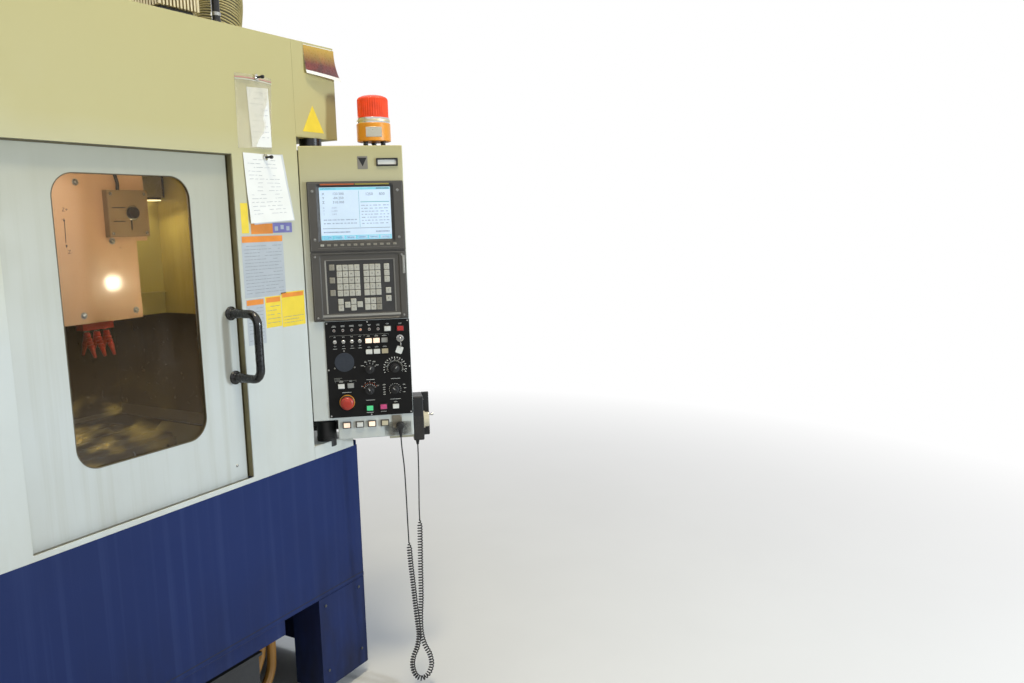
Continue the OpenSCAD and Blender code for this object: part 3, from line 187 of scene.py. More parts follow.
def surface(name, colour, rough, spread, grain, bump, fine=260, metal=0.0, stretch=None, streak=None,
            soil=None, worn=None, edge=0.0, coat=0.0, specular=0.5, uneven=0.08, speck=None, upper=None):
    """A painted, cast or moulded surface.

    The colour varies by the spread and the gloss by uneven; grain and fine are the scales of the
    variation and of the bumps. A streak is an amount, a colour and a scale. Soil lies low and upper
    lies high, each given by two heights, a colour and an amount. A speck is a colour and how rare it is.
    """
    g, b = principled(name)
    tone = g.span(g.noise(grain, 5, stretch), 0.32, 0.68, 0.0, 1.0)
    paint = g.mix(tone, *both_sides(colour, spread))
    rough_by = g.span(g.noise(grain * 6, 3), 0.3, 0.7, rough - uneven, rough + uneven)
    if streak:
        amount, tint, scale = streak
        lines = g.span(g.noise(1.0, 6, scale, 0.6), 0.50, 0.74, 0.0, amount)
        paint = g.mix(lines, paint, rgb(*tint))
    if soil:
        low, high, tint, amount = soil
        height = g.span(g.axis("Z"), low, high, 1.0, 0.0)
        patch = g.span(g.noise(9, 6, (1, 1, 0.35)), 0.38, 0.66, 0.15, 1.0)
        layer = g.math("MULTIPLY", g.math("MULTIPLY", height, patch), amount)
        paint = g.mix(layer, paint, rgb(*tint))
    # A tint that grows with height: painted warm light from above on the cream paints, painted shade under
    # the lintel on the door paint, and the print's own colour on the print.
    if upper:
        low, high, tint, amount = upper
        paint = g.mix(g.span(g.axis("Z"), low, high, 0.0, amount), paint, rgb(*tint))
    if speck:
        tint, limit = speck
        dots = g.span(g.noise(85, 2), limit, limit + 0.03, 0.0, 0.8)
        paint = g.mix(dots, paint, rgb(*tint))
    normal = None
    if edge:
        bevel = g.node("ShaderNodeBevel", samples=4)
        bevel.inputs["Radius"].default_value = edge
        normal = bevel.outputs[0]
        if worn:
            flat = g.node("ShaderNodeNewGeometry").outputs["Normal"]
            rim = g.span(g.vector("DOT_PRODUCT", normal, flat), 0.985, 0.87, 0.0, 1.0)
            rub = g.span(g.noise(34, 5), 0.45, 0.6, 0.0, 1.0)
            paint = g.mix(g.math("MULTIPLY", rim, rub), paint, rgb(*worn))
    g.put(b.inputs["Base Color"], paint)
    g.put(b.inputs["Roughness"], rough_by)
    b.inputs["Metallic"].default_value = metal
    b.inputs["Specular IOR Level"].default_value = specular
    if coat:
        b.inputs["Coat Weight"].default_value = coat
        b.inputs["Coat Roughness"].default_value = 0.12
    g.put(b.inputs["Normal"], g.relief(bump, 0.0008, (fine, 3, stretch), normal))
    return g.material


def glowing(name, colour, strength, rough=0.3, spread=0.12, grain=30.0):
    """A lit lens or screen cell."""
    g, b = principled(name)
    tone = g.span(g.noise(grain, 3), 0.3, 0.7, 0.0, 1.0)
    lit = g.mix(tone, *both_sides(colour, spread))
    g.put(b.inputs["Base Color"], lit)
    g.put(b.inputs["Emission Color"], lit)
    b.inputs["Emission Strength"].default_value = strength
    g.put(b.inputs["Roughness"], g.span(g.noise(90, 2), 0.3, 0.7, rough - 0.05, rough + 0.05))
    return g.material


def clear(name, colour, alpha, rough=0.06, smear=0.5, bump=0.02, spots=False):
    """A clear sheet or pane, with smears that catch the light."""
    g, b = principled(name)
    colour = rgb(*colour)
    haze = g.span(g.noise(7, 7, (1, 1, 0.5)), 0.35, 0.75, 0.0, 1.0)
    g.put(b.inputs["Base Color"], g.mix(haze, colour, shade(colour, 1 + smear)))
    see = g.span(haze, 0.0, 1.0, alpha, min(1.0, alpha * (1 + smear)))
    if spots:
        # A dark film over the lower pane: painted shade of the dim chamber behind it.
        shade_film = g.span(g.axis("Z"), 1.24, 1.36, 0.34, 0.0)
        see = g.math("ADD", see, g.math("MULTIPLY", shade_film, g.span(g.noise(5, 5), 0.3, 0.6, 0.6, 1.0)))
        # Smears on the lower left of the pane, which carry painted highlights.
        low = g.span(g.axis("Z"), 1.10, 1.24, 1.0, 0.0)
        left = g.span(g.axis("X"), -0.17, 0.03, 1.0, 0.0)
        blot = g.span(g.noise(9, 4, (1, 1, 2.6)), 0.50, 0.68, 0.0, 1.0)
        smear_highlights = g.math("MULTIPLY", g.math("MULTIPLY", low, left), blot)
        see = g.math("MAXIMUM", see, g.math("MULTIPLY", smear_highlights, 0.85))
        cells = g.node("ShaderNodeTexVoronoi")
        cells.inputs["Scale"].default_value = 62
        g.put(cells.inputs["Vector"], g.where)
        kept = g.node("ShaderNodeSeparateColor")
        g.put(kept.inputs[0], cells.outputs["Color"])
        dot = g.span(cells.outputs["Distance"], 0.07, 0.13, 1.0, 0.0)
        drops = g.math("MULTIPLY", dot, g.span(kept.outputs[0], 0.78, 0.82, 0.0, 0.55))
        see = g.math("MAXIMUM", see, drops)
        # Brass colour on the smears: painted highlights of the oiled table behind the pane.
        painted_brass_highlight = g.mix(g.noise(24, 4), rgb(206, 176, 84), rgb(128, 90, 50))
        pane_and_highlight_colour = g.mix(smear_highlights, colour, painted_brass_highlight)
        g.put(b.inputs["Base Color"], g.mix(drops, pane_and_highlight_colour, rgb(206, 200, 180)))
    g.put(b.inputs["Alpha"], see)
    g.put(b.inputs["Roughness"], g.span(haze, 0.0, 1.0, rough, rough + 0.22))
    b.inputs["Specular IOR Level"].default_value = 0.8
    g.put(b.inputs["Normal"], g.relief(bump, 0.001, (16, 3)))
    return g.material


def stain(name, colour, centre, radius, amount):
    """A patch of dirt that fades out from its centre."""
    g, b = principled(name)
    colour = rgb(*colour)
    fade = g.span(g.vector("DISTANCE", g.where, centre), 0.0, radius, 1.0, 0.0)
    blots = g.span(g.noise(70, 6), 0.35, 0.65, 0.3, 1.0)
    g.put(b.inputs["Alpha"], g.math("MULTIPLY", g.math("MULTIPLY", fade, blots), amount))
    g.put(b.inputs["Base Color"], g.mix(g.noise(120, 4), colour, shade(colour, 0.6)))
    g.put(b.inputs["Roughness"], g.span(blots, 0.0, 1.0, 0.5, 0.75))
    return g.material


# Materials

DUST = (120, 108, 84)
# The cream paint turns yellower towards its top: painted warm light from above.
WARM_LIGHT_FROM_ABOVE = (1.34, 1.88, (187, 178, 122), 0.95)
CREAM = surface("cream_paint", (202, 207, 204), 0.46, 0.03, 1.6, 0.05, 420,
                streak=(0.12, (178, 172, 150), (18, 18, 0.7)), soil=(0.86, 1.1, (176, 172, 156), 0.3),
                edge=0.0016, upper=WARM_LIGHT_FROM_ABOVE)
# The cabinet paint turns warmer towards its top: painted warm light from above.
CABINET_CREAM = surface("cabinet_paint", (204, 204, 190), 0.46, 0.03, 1.6, 0.05, 420,
                        streak=(0.12, (178, 172, 150), (18, 18, 0.7)),
                        soil=(0.86, 1.1, (176, 172, 156), 0.3), edge=0.0016,
                        upper=(1.3, 2.1, (198, 192, 158), 0.7))
# The door paint turns greyer and darker towards its top: painted shade under the lintel.
DOOR_CREAM = surface("door_paint", (196, 201, 199), 0.44, 0.03, 1.4, 0.05, 420,
                     streak=(0.5, (172, 174, 162), (34, 34, 0.9)), soil=(0.84, 1.1, (170, 168, 156), 0.3),
                     edge=0.0016, upper=(1.15, 1.80, (170, 168, 146), 0.9))
TRIM_CREAM = surface("return_paint", (160, 156, 134), 0.45, 0.08, 6, 0.06, 300)
# Olive paint of the door's track and sill; on the jamb's side wall it is painted shade.
OLIVE_TRACK_AND_JAMB_SHADE = surface("track_paint_and_jamb_shade", (124, 114, 78), 0.5, 0.16, 14, 0.12, 200,
                      streak=(0.4, (70, 62, 40), (60, 60, 4)))
BLUE = surface("blue_paint", (26, 42, 90), 0.5, 0.12, 1.1, 0.05, 380,
               streak=(0.34, (52, 68, 116), (40, 40, 0.5)), soil=(0.05, 0.62, (24, 26, 38), 0.9),
               edge=0.0016, specular=0.16, speck=((96, 106, 134), 0.82))
# Dark blue for the painted shadow lines at the apron's hem.
BLUE_PAINTED_SHADOW = surface("blue_painted_shadow", (13, 18, 36), 0.6, 0.15, 9, 0.06)
CASTING = surface("cast_paint", (92, 100, 96), 0.6, 0.12, 7, 0.3, 140, soil=(0.0, 0.9, DUST, 0.4),
                  edge=0.003)
CAST_DARK = surface("cast_foot", (64, 68, 70), 0.6, 0.15, 9, 0.3, 140, edge=0.002)
MACHINED = surface("machined_steel", (168, 168, 164), 0.28, 0.12, 18, 0.1, 500, metal=1.0,
                   streak=(0.4, (122, 112, 92), (6, 6, 6)), stretch=(1, 14, 1), edge=0.001)
OILY = surface("oily_sheet", (132, 122, 96), 0.35, 0.22, 9, 0.14, 160, metal=0.75,
               streak=(0.6, (74, 58, 32), (7, 7, 3)), edge=0.0015)
CHROME = surface("bright_steel", (205, 204, 200), 0.16, 0.05, 30, 0.03, 300, metal=1.0)
ALLOY = surface("motor_alloy", (224, 212, 174), 0.38, 0.10, 16, 0.12, 240, metal=0.9,
                soil=(2.15, 2.5, DUST, 0.25))
TOOL_STEEL = surface("tool_steel", (120, 118, 114), 0.3, 0.2, 40, 0.08, 300, metal=1.0, edge=0.0006)
BLACK = surface("black_plastic", (17, 17, 19), 0.42, 0.2, 22, 0.12, 900, edge=0.0005)
BLACK_METAL = surface("black_enamel", (20, 20, 22), 0.3, 0.25, 12, 0.05, 300, edge=0.001, worn=(90, 88, 84))
HANDLE = surface("handle_coating", (11, 11, 13), 0.27, 0.3, 14, 0.04, 420,
                 streak=(0.25, (70, 66, 60), (30, 30, 9)), coat=0.3)
RUBBER = surface("black_rubber", (26, 26, 26), 0.7, 0.2, 25, 0.2, 500)
PLATE = surface("control_plate", (12, 11, 11), 0.5, 0.22, 9, 0.06, 700, specular=0.2,
                speck=((80, 78, 70), 0.80), edge=0.0006)
LEGEND = surface("white_legend", (226, 226, 220), 0.6, 0.1, 60, 0.02)
DIM_LEGEND = surface("grey_legend", (150, 150, 144), 0.6, 0.15, 60, 0.02)
ORANGE_LEGEND = surface("orange_legend", (214, 96, 40), 0.6, 0.1, 60, 0.02)
UNIT_GREY = surface("unit_grey", (76, 73, 69), 0.45, 0.08, 7, 0.14, 650,
                    soil=(1.2, 1.9, (56, 52, 44), 0.35), edge=0.0012)
UNIT_RIM = surface("unit_rim", (112, 110, 105), 0.42, 0.08, 12, 0.1, 650)
UNIT_LEDGE = surface("unit_ledge", (150, 148, 142), 0.5, 0.06, 16, 0.08, 500)
FIELD = surface("key_field", (47, 46, 46), 0.5, 0.12, 25, 0.12, 500)
KEY = surface("key_cap", (184, 182, 172), 0.5, 0.07, 30, 0.06, 700, speck=((110, 100, 80), 0.74))
KEY_DARK = surface("key_cap_grey", (140, 136, 124), 0.5, 0.07, 30, 0.06, 700)
KEY_MARK = surface("key_legend", (52, 52, 54), 0.6, 0.1, 60, 0.02)
BUTTON_RIM = surface("button_rim", (92, 90, 86), 0.35, 0.1, 30, 0.05)
SCREW = surface("screw_zinc", (170, 170, 166), 0.3, 0.12, 60, 0.05, metal=0.95)
SOCKET = surface("screw_recess", (30, 30, 30), 0.6, 0.2, 60, 0.05)
RED_HEAD = surface("stop_red", (178, 46, 28), 0.36, 0.08, 26, 0.04, 500, coat=0.25)
STOP_RING = surface("stop_ring", (220, 150, 40), 0.45, 0.08, 26, 0.04)
STOP_MARK = surface("stop_marks", (150, 64, 46), 0.5, 0.2, 90, 0.03)
SMUDGE = stain("grimy_patch", (70, 58, 42), (0.6956, -1.2126, 0.937), 0.042, 0.8)
DISC = surface("blank_disc", (34, 40, 50), 0.62, 0.12, 14, 0.08)
AMBER = surface("beacon_amber", (232, 150, 28), 0.36, 0.06, 14, 0.05, 420, coat=0.2)
PLATE_SILVER = surface("plain_plate", (188, 184, 168), 0.35, 0.08, 30, 0.04, metal=0.7)
PAPER = surface("paper_white", (236, 236, 232), 0.75, 0.04, 10, 0.05, 300)
# White paper in painted shade, for the sheet behind.
PAPER_PAINTED_SHADE = surface("paper_painted_shade", (206, 208, 210), 0.75, 0.05, 10, 0.05, 300)
PENCIL = surface("pencil_lines", (172, 174, 178), 0.8, 0.25, 70, 0.02)
YELLOW_LABEL = surface("label_yellow", (236, 208, 60), 0.5, 0.06, 18, 0.03)
ORANGE_LABEL = surface("label_orange", (230, 140, 50), 0.5, 0.08, 18, 0.03)
VIOLET_LABEL = surface("label_violet", (124, 120, 178), 0.5, 0.14, 22, 0.03)
GREY_LABEL = surface("label_grey", (178, 184, 190), 0.5, 0.05, 18, 0.03)
LABEL_LINES = surface("label_lines", (136, 142, 150), 0.6, 0.2, 70, 0.02)
PRINT = surface("plain_print", (104, 42, 34), 0.3, 0.5, 30, 0.03, streak=(0.9, (52, 28, 30), (46, 46, 30)),
                coat=0.3, soil=(2.062, 2.112, (60, 34, 44), 0.9),
                upper=(2.104, 2.156, (196, 160, 62), 0.95))
PINK = surface("zip_pink", (206, 120, 140), 0.4, 0.08, 30, 0.03)
HEAD_CREAM = surface("head_paint", (226, 184, 140), 0.34, 0.08, 3.5, 0.05, 300,
                     streak=(0.25, (196, 146, 96), (12, 12, 2)), coat=0.9, uneven=0.02,
                     soil=(1.3, 1.72, (206, 146, 88), 0.8), edge=0.0006)
RELEASE_BEIGE = surface("release_box_paint", (150, 128, 92), 0.42, 0.12, 9, 0.05, 300,
                        streak=(0.4, (140, 108, 66), (30, 30, 8)), edge=0.0008)
GUARD = surface("guard_olive", (182, 172, 104), 0.36, 0.14, 3, 0.08, 300,
                streak=(0.55, (132, 110, 44), (9, 9, 1.2)), edge=0.0015)
NOZZLE_RED = surface("nozzle_red", (234, 56, 26), 0.36, 0.1, 30, 0.06)
CONDUIT = surface("conduit_sleeve", (196, 184, 132), 0.55, 0.12, 22, 0.14, 300,
                  soil=(2.1, 2.6, (104, 92, 58), 0.5))
# Dark colour for painted shade in the conduit's grooves.
CONDUIT_GROOVE_SHADE = surface("conduit_groove_shade", (84, 80, 62), 0.55, 0.15, 22, 0.14, 300)
HOSE = surface("amber_hose", (140, 98, 38), 0.4, 0.16, 18, 0.08, coat=0.2)
PLATE_GRIMY = surface("connector_plate", (118, 112, 98), 0.5, 0.15, 30, 0.06,
                      streak=(0.8, (70, 62, 48), (60, 60, 60)), edge=0.0008)
TANK = surface("tank_paint", (34, 36, 40), 0.5, 0.14, 9, 0.12, edge=0.002)
CORD = surface("cord_jacket", (22, 22, 24), 0.4, 0.2, 40, 0.06, 600)
WHEEL = surface("wheel_cream", (208, 200, 176), 0.4, 0.08, 20, 0.06, edge=0.0006)
WAY = surface("way_cover_steel", (118, 112, 98), 0.32, 0.2, 8, 0.1, metal=0.9, stretch=(1, 6, 1),
              edge=0.001)
CARD = surface("card_white", (226, 226, 220), 0.5, 0.04, 14, 0.03)
SYMBOL_GREY = surface("symbol_patch", (132, 128, 120), 0.5, 0.1, 30, 0.03)
SWITCH_RED = surface("switch_red", (190, 40, 30), 0.4, 0.08, 26, 0.05, edge=0.001)
SWITCH_YELLOW = surface("switch_yellow", (226, 180, 40), 0.45, 0.06, 26, 0.04)
PANE = clear("window_pane", (66, 50, 26), 0.17, 0.05, 0.35, spots=True)
BAG = clear("clear_bag", (196, 190, 170), 0.16, 0.12, 0.8, bump=0.6)
LAMP_LENS = glowing("lamp_lens", (255, 226, 168), 2.6)
LED_ON = glowing("led_on", (190, 110, 60), 0.35)
LED_OFF = surface("led_off", (96, 70, 60), 0.3, 0.2, 60, 0.02)
LIT_WARM = glowing("lit_button", (255, 222, 196), 0.6)
LIT_GREEN = glowing("start_green", (84, 206, 138), 0.28)
LIT_PINK = glowing("hold_pink", (184, 72, 118), 0.16)
CAP_WHITE = surface("button_white", (222, 222, 216), 0.42, 0.05, 26, 0.04)
CAP_GREY = surface("button_grey", (150, 150, 146), 0.42, 0.05, 26, 0.04)
CAP_BEIGE = surface("button_beige", (206, 196, 168), 0.42, 0.05, 26, 0.04)
CAP_RED = surface("button_red", (176, 44, 44), 0.4, 0.06, 26, 0.04)
LENS = glowing("beacon_lens_red", (226, 62, 0), 0.2, rough=0.2, spread=0.16, grain=22)
SCREEN = glowing("screen_blue", (190, 208, 226), 0.38, rough=0.12, spread=0.05, grain=12)
SCREEN_CYAN = glowing("screen_cyan", (120, 196, 214), 0.36, rough=0.12, spread=0.05)
SCREEN_DARK = glowing("screen_dark", (108, 126, 150), 0.26, rough=0.15, spread=0.1)
SCREEN_TEAL = glowing("screen_teal", (84, 158, 172), 0.3, rough=0.15, spread=0.1)
SCREEN_TEXT = glowing("screen_text", (146, 164, 190), 0.3, rough=0.15, spread=0.25, grain=200)
# Olive brown for painted shadow in the gaps beside and above the door.
JAMB_PAINTED_SHADOW = surface("jamb_painted_shadow", (84, 76, 48), 0.6, 0.2, 14, 0.06)
WINDOW_EDGE = surface("window_edge", (86, 78, 58), 0.5, 0.15, 40, 0.05)
BRASSY = surface("oiled_table", (142, 124, 78), 0.34, 0.3, 7, 0.05, 300, metal=0.9,
                 streak=(0.6, (74, 56, 34), (8, 8, 8)), edge=0.001)
LINING = surface("dark_lining", (40, 33, 24), 0.34, 0.3, 6, 0.08, 160, metal=0.6,
                 streak=(0.6, (110, 92, 44), (6, 6, 2)))
STRIP_ORANGE = surface("strip_orange", (178, 92, 50), 0.5, 0.1, 30, 0.03)
STRIP_OLIVE = surface("strip_olive", (150, 138, 64), 0.5, 0.1, 30, 0.03)


# Mesh building

def rounded(cx, cz, w, h, r, n=5):
    """A rectangle's outline with round corners, anticlockwise from its lower right corner."""
    r = max(min(r, w / 2 - 0.001, h / 2 - 0.001), 0.0)
    points = []
    for sx, sz, start in ((1, -1, -90), (1, 1, 0), (-1, 1, 90), (-1, -1, 180)):
        for i in range(n + 1):
            x, z = polar(r, start + 90 * i / n)
            points.append((cx + sx * (w / 2 - r) + x, cz + sz * (h / 2 - r) + z))
    return points


def polar(r, degrees):
    a = math.radians(degrees)
    return r * math.cos(a), r * math.sin(a)


def circle(cx, cz, r, n=32):
    return [(cx + x, cz + z) for x, z in (polar(r, 360 * i / n) for i in range(n))]


def inset(cx, cz, w, h, r, n=5, shrink=0):
    """The outline of a rounded rectangle, as a function of how far it is drawn in."""
    return lambda i: rounded(cx, cz, w - 2 * i, h - 2 * i, r - shrink * i, n)


def disc(cx, cz, r, n=32):
    return lambda i: circle(cx, cz, r - i, n)


def spin(at, degrees, axis):
    """A move to a place with a turn about one axis."""
    return Matrix.Translation(at) @ Matrix.Rotation(math.radians(degrees), 4, axis)


def measured(path):
    """How far along a path each of its points lies."""
    lengths = [0.0]
    for a, b in zip(path, path[1:]):
        lengths.append(lengths[-1] + (b - a).length)
    return lengths


def across(ahead, side=None):
    """Two directions square to a path, the first as near as can be to the one before."""
    side = side or ahead.orthogonal().normalized()
    side = (side - ahead * side.dot(ahead)).normalized()
    return side, ahead.cross(side)


def ring_round(centre, side, up, r, n):
    return [centre + side * x + up * y for x, y in (polar(r, 360 * k / n) for k in range(n))]


def towards(direction):
    """A turn that takes Z to the given direction."""
    return Vector(direction).to_track_quat("Z", "Y").to_matrix().to_4x4()


GLYPHS = {}


def glyph_mesh(text, size):
    key = (text, size)
    if key not in GLYPHS:
        curve = bpy.data.curves.new("glyph", "FONT")
        curve.body, curve.size = text, size
        curve.align_x = curve.align_y = "CENTER"
        curve.resolution_u = 2
        holder = put_in_scene("glyph", curve)
        shown = holder.evaluated_get(bpy.context.evaluated_depsgraph_get())
        GLYPHS[key] = bpy.data.meshes.new_from_object(shown)
        bpy.data.objects.remove(holder)
        bpy.data.curves.remove(curve)
    return GLYPHS[key]


def at_depth(y, outline):
    return [(x, y, z) for x, z in outline]


class Piece:
    """One shown piece. Its parts are given in millimetres, in the scene's frame or in the panel's."""

    def __init__(self, name, body, at=None):
        self.name, self.body, self.at = name, body, at or Matrix.Identity(4)
        self.mesh = bmesh.new()
        self.materials = []

    def index(self, material):
        if material not in self.materials:
            self.materials.append(material)
        return self.materials.index(material)

    def take(self, part, material, move=None):
        number = self.index(material)
        for f in part.faces:
            f.material_index = number
        if move is not None:
            bmesh.ops.transform(part, matrix=move, verts=part.verts)
        held = bpy.data.meshes.new("part")
        part.to_mesh(held)
        part.free()
        self.mesh.from_mesh(held)
        bpy.data.meshes.remove(held)

    def box(self, x0, x1, y0, y1, z0, z1, material, bevel=1.0, segments=2, move=None):
        part = bmesh.new()
        size = (x1 - x0, y1 - y0, z1 - z0)
        place = Matrix.Translation(((x0 + x1) / 2, (y0 + y1) / 2, (z0 + z1) / 2))
        bmesh.ops.create_cube(part, size=1, matrix=place @ Matrix.Diagonal((*size, 1)))
        bevel = min(bevel, 0.42 * min(size))
        if bevel > 0.02:
            bmesh.ops.bevel(part, geom=part.edges[:], offset=bevel, offset_type="OFFSET", segments=segments,
                            profile=0.5, affect="EDGES", clamp_overlap=True)
        self.take(part, material, move)

    def boxes(self, material, bevel, *rows):
        """Boxes of one material, each given by the places of its six faces."""
        for row in rows:
            self.box(*row, material, bevel)

    def loft(self, rings, material, cyclic=False, move=None):
        """Joins closed rings of 3-D points, each with the same number of points."""
        part = bmesh.new()
        rows = [[part.verts.new(p) for p in ring] for ring in rings]
        n = len(rows[0])
        pairs = list(zip(rows, rows[1:])) + ([(rows[-1], rows[0])] if cyclic else [])
        for a, b in pairs:
            for i in range(n):
                j = (i + 1) % n
                part.faces.new((a[i], a[j], b[j], b[i]))
        if not cyclic:
            part.faces.new(rows[0])
            part.faces.new(list(reversed(rows[-1])))
        bmesh.ops.recalc_face_normals(part, faces=part.faces)
        self.take(part, material, move)

    def slab(self, outline, y0, y1, material, bevel=0.8, move=None):
        """A plate with this outline, given by a function of its inset, with rounded rims at both faces."""
        steps = [(bevel, 0), (bevel * 0.3, bevel * 0.3), (0, bevel)]
        rings = [at_depth(y0 + d, outline(i)) for i, d in steps]
        rings += [at_depth(y1 - d, outline(i)) for i, d in reversed(steps)]
        self.loft(rings, material, move=move)

    def ring(self, outer, inner, y0, y1, material, bevel=0.8, move=None):
        """A frame between two outlines, both functions of an inset, with rounded rims."""
        steps = [(bevel, 0), (bevel * 0.3, bevel * 0.3), (0, bevel)]
        rings = [at_depth(y0 + d, outer(i)) for i, d in steps]
        rings += [at_depth(y1, outer(0)), at_depth(y1, inner(0))]
        rings += [at_depth(y0 + d, inner(-i)) for i, d in reversed(steps)]
        self.loft(rings, material, cyclic=True, move=move)

    def cap(self, x, z, w, h, steps, material, r=1.2, n=4):
        """A push cap or key top, whose steps are pairs of an inset and a depth."""
        self.loft([at_depth(y, rounded(x, z, w - 2 * g, h - 2 * g, r, n)) for g, y in steps], material)

    def lathe(self, profile, material, at=(0, 0, 0), axis=UP, n=32, ribs=0, depth=0.0):
        """Turns (radius, height) points about an axis. Ribs make the radius wavy."""
        place = Matrix.Translation(at) @ towards(axis)
        rings = []
        for r, h in profile:
            wavy = depth if ribs and r > depth * 3 else 0.0
            radii = [max(r + polar(wavy, 360 * ribs * i / n)[0], 0.01) for i in range(n)]
            rings.append([place @ Vector((*polar(q, 360 * i / n), h)) for i, q in enumerate(radii)])
        self.loft(rings, material)

    def tube(self, path, radius, material, n=12):
        """Sweeps a circle along points."""
        path = [Vector(p) for p in path]
        rings, side = [], None
        for i, p in enumerate(path):
            ahead = (path[min(i + 1, len(path) - 1)] - path[max(i - 1, 0)]).normalized()
            side, up = across(ahead, side)
            rings.append(ring_round(p, side, up, radius, n))
        self.loft(rings, material)

    def sheet(self, place, columns, rows, material, thick=0.25):
        """A curved sheet: place(u, v) gives a point for u and v from 0 to 1."""
        part = bmesh.new()
        grid = []
        for j in range(rows + 1):
            grid.append([part.verts.new(place(i / columns, j / rows)) for i in range(columns + 1)])
        faces = []
        for a, b in zip(grid, grid[1:]):
            for i in range(columns):
                faces.append(part.faces.new((a[i], a[i + 1], b[i + 1], b[i])))
        bmesh.ops.recalc_face_normals(part, faces=part.faces)
        bmesh.ops.solidify(part, geom=faces, thickness=thick)
        self.take(part, material)

    def text(self, words, material, x, z, y, size):
        part = bmesh.new()
        part.from_mesh(glyph_mesh(words, size))
        stand = Matrix(((1, 0, 0, x), (0, 0, -1, y), (0, 1, 0, z), (0, 0, 0, 1)))
        bmesh.ops.transform(part, matrix=stand, verts=part.verts)
        self.take(part, material)

    def screw(self, x, y, z, r, material=SCREW, axis=OUT, slot=20.0):
        """A pan head with a slot, its seat at the given point."""
        profile = [(r, 0), (r, 0.25 * r), (0.8 * r, 0.5 * r), (0.3 * r, 0.62 * r)]
        self.lathe(profile, material, (x, y, z), axis, 16)
        place = Matrix.Translation((x, y, z)) @ towards(axis) @ Matrix.Rotation(math.radians(slot), 4, "Z")
        self.box(-0.75 * r, 0.75 * r, -0.12 * r, 0.12 * r, 0.5 * r, 0.66 * r, SOCKET, 0, move=place)

    def hexagon(self, x, y, z, r, h, material=SCREW, axis=OUT):
        self.lathe([(0.94 * r, 0), (r, 0.1 * h), (r, 0.8 * h), (0.82 * r, h)], material, (x, y, z), axis, 6)

    def done(self, replaces=(), slot=None):
        bmesh.ops.transform(self.mesh, matrix=Matrix.Scale(MM, 4) @ self.at, verts=self.mesh.verts)
        data = bpy.data.meshes.new(self.name)
        self.mesh.to_mesh(data)
        self.mesh.free()
        for m in self.materials:
            data.materials.append(m)
        data.shade_smooth()
        data.set_sharp_from_angle(angle=math.radians(38))
        made = put_in_scene(self.name, data)
        made.modifiers.new("even_normals", "WEIGHTED_NORMAL").keep_sharp = True
        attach(made, self.body)
        if replaces:
            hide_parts(*replaces)


def curve_through(points, steps):
    """A smooth curve through points, as the part's source draws it."""
    p = [Vector(q) for q in points]
    out = []
    for i in range(len(p) - 1):
        a, b, c, d = p[max(i - 1, 0)], p[i], p[i + 1], p[min(i + 2, len(p) - 1)]
        for s in range(steps):
            t = s / steps
            out.append(0.5 * (2 * b + (c - a) * t + (2 * a - 5 * b + 4 * c - d) * t * t
                              + (3 * b - a - 3 * c + d) * t ** 3))
    out.append(p[-1])
    return out


# Handwheel cord: straight leads and a close coil, in the panel's frame

def hung(points):
    return [(x + RIGHT, y, z + FACE_Z) for x, y, z in points]


LEAD_DOWN = [(-44.5, -19, 1), (-43, -20, -37), (-38, -20, -107), (-36, -20, -207), (-35, -19, -297),
             (-34, -18, -362)]
COIL = [(-34, -18, -362), (-31, -16, -437), (-26, -14, -507), (-21, -11, -587), (-16, -9, -657),
        (-13, -7, -702), (-21, -5, -747), (-35, -3, -782), (-39, -2, -817), (-30, -1, -850),
        (-10, 2, -867), (14, 5, -855), (27, 8, -823), (22, 11, -785), (7, 14, -752), (-3, 18, -707),
        (-3, 22, -647), (2, 27, -577), (5, 34, -467), (8, 40, -367), (9, 42, -307)]
LEAD_UP = [(9, 42, -307), (9, 44, -267), (11, 47, -207), (13, 51, -142), (14, 56, -87), (14.3, 60, -49)]


def make_cord():
    coil_radius, pitch, turn_points, taper, thickness = 7.3, 9.6, 14, 22, 0.0042
    spine = curve_through(hung(COIL), 24)
    lengths = measured(spine)
    total = lengths[-1]
    count = round(total / pitch) * turn_points
    helix, side, k = [], None, 0
    for i in range(count + 1):
        s = total * i / count
        while k < len(lengths) - 2 and lengths[k + 1] < s:
            k += 1
        f = (s - lengths[k]) / max(lengths[k + 1] - lengths[k], 1e-9)
        p = spine[k].lerp(spine[k + 1], f)
        ahead = (spine[min(k + 2, len(spine) - 1)] - spine[max(k - 1, 0)]).normalized()
        side, up = across(ahead, side)
        x, y = polar(coil_radius * min(1.0, s / taper, (total - s) / taper), 360 * i / turn_points)
        helix.append(p + x * side + y * up)
    path = curve_through(hung(LEAD_DOWN), 5)[:-1] + helix + curve_through(hung(LEAD_UP), 5)[1:]
    path = [MM * (PANEL @ p) for p in path]
    curve = bpy.data.curves.new("curly_cord", "CURVE")
    curve.dimensions = "3D"
    curve.bevel_depth = thickness / 2
    curve.bevel_resolution = 2
    line = curve.splines.new("POLY")
    line.points.add(len(path) - 1)
    for point, p in zip(line.points, path):
        point.co = (*p, 1)
    line.use_smooth = True
    curve.materials.append(CORD)
    cord = put_in_scene("curly_cord", curve)
    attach(cord, "pendant")
    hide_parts("cord_lead", "cord_coil")


make_cord()


# Bare CAD nodes take their paint, metal or plastic

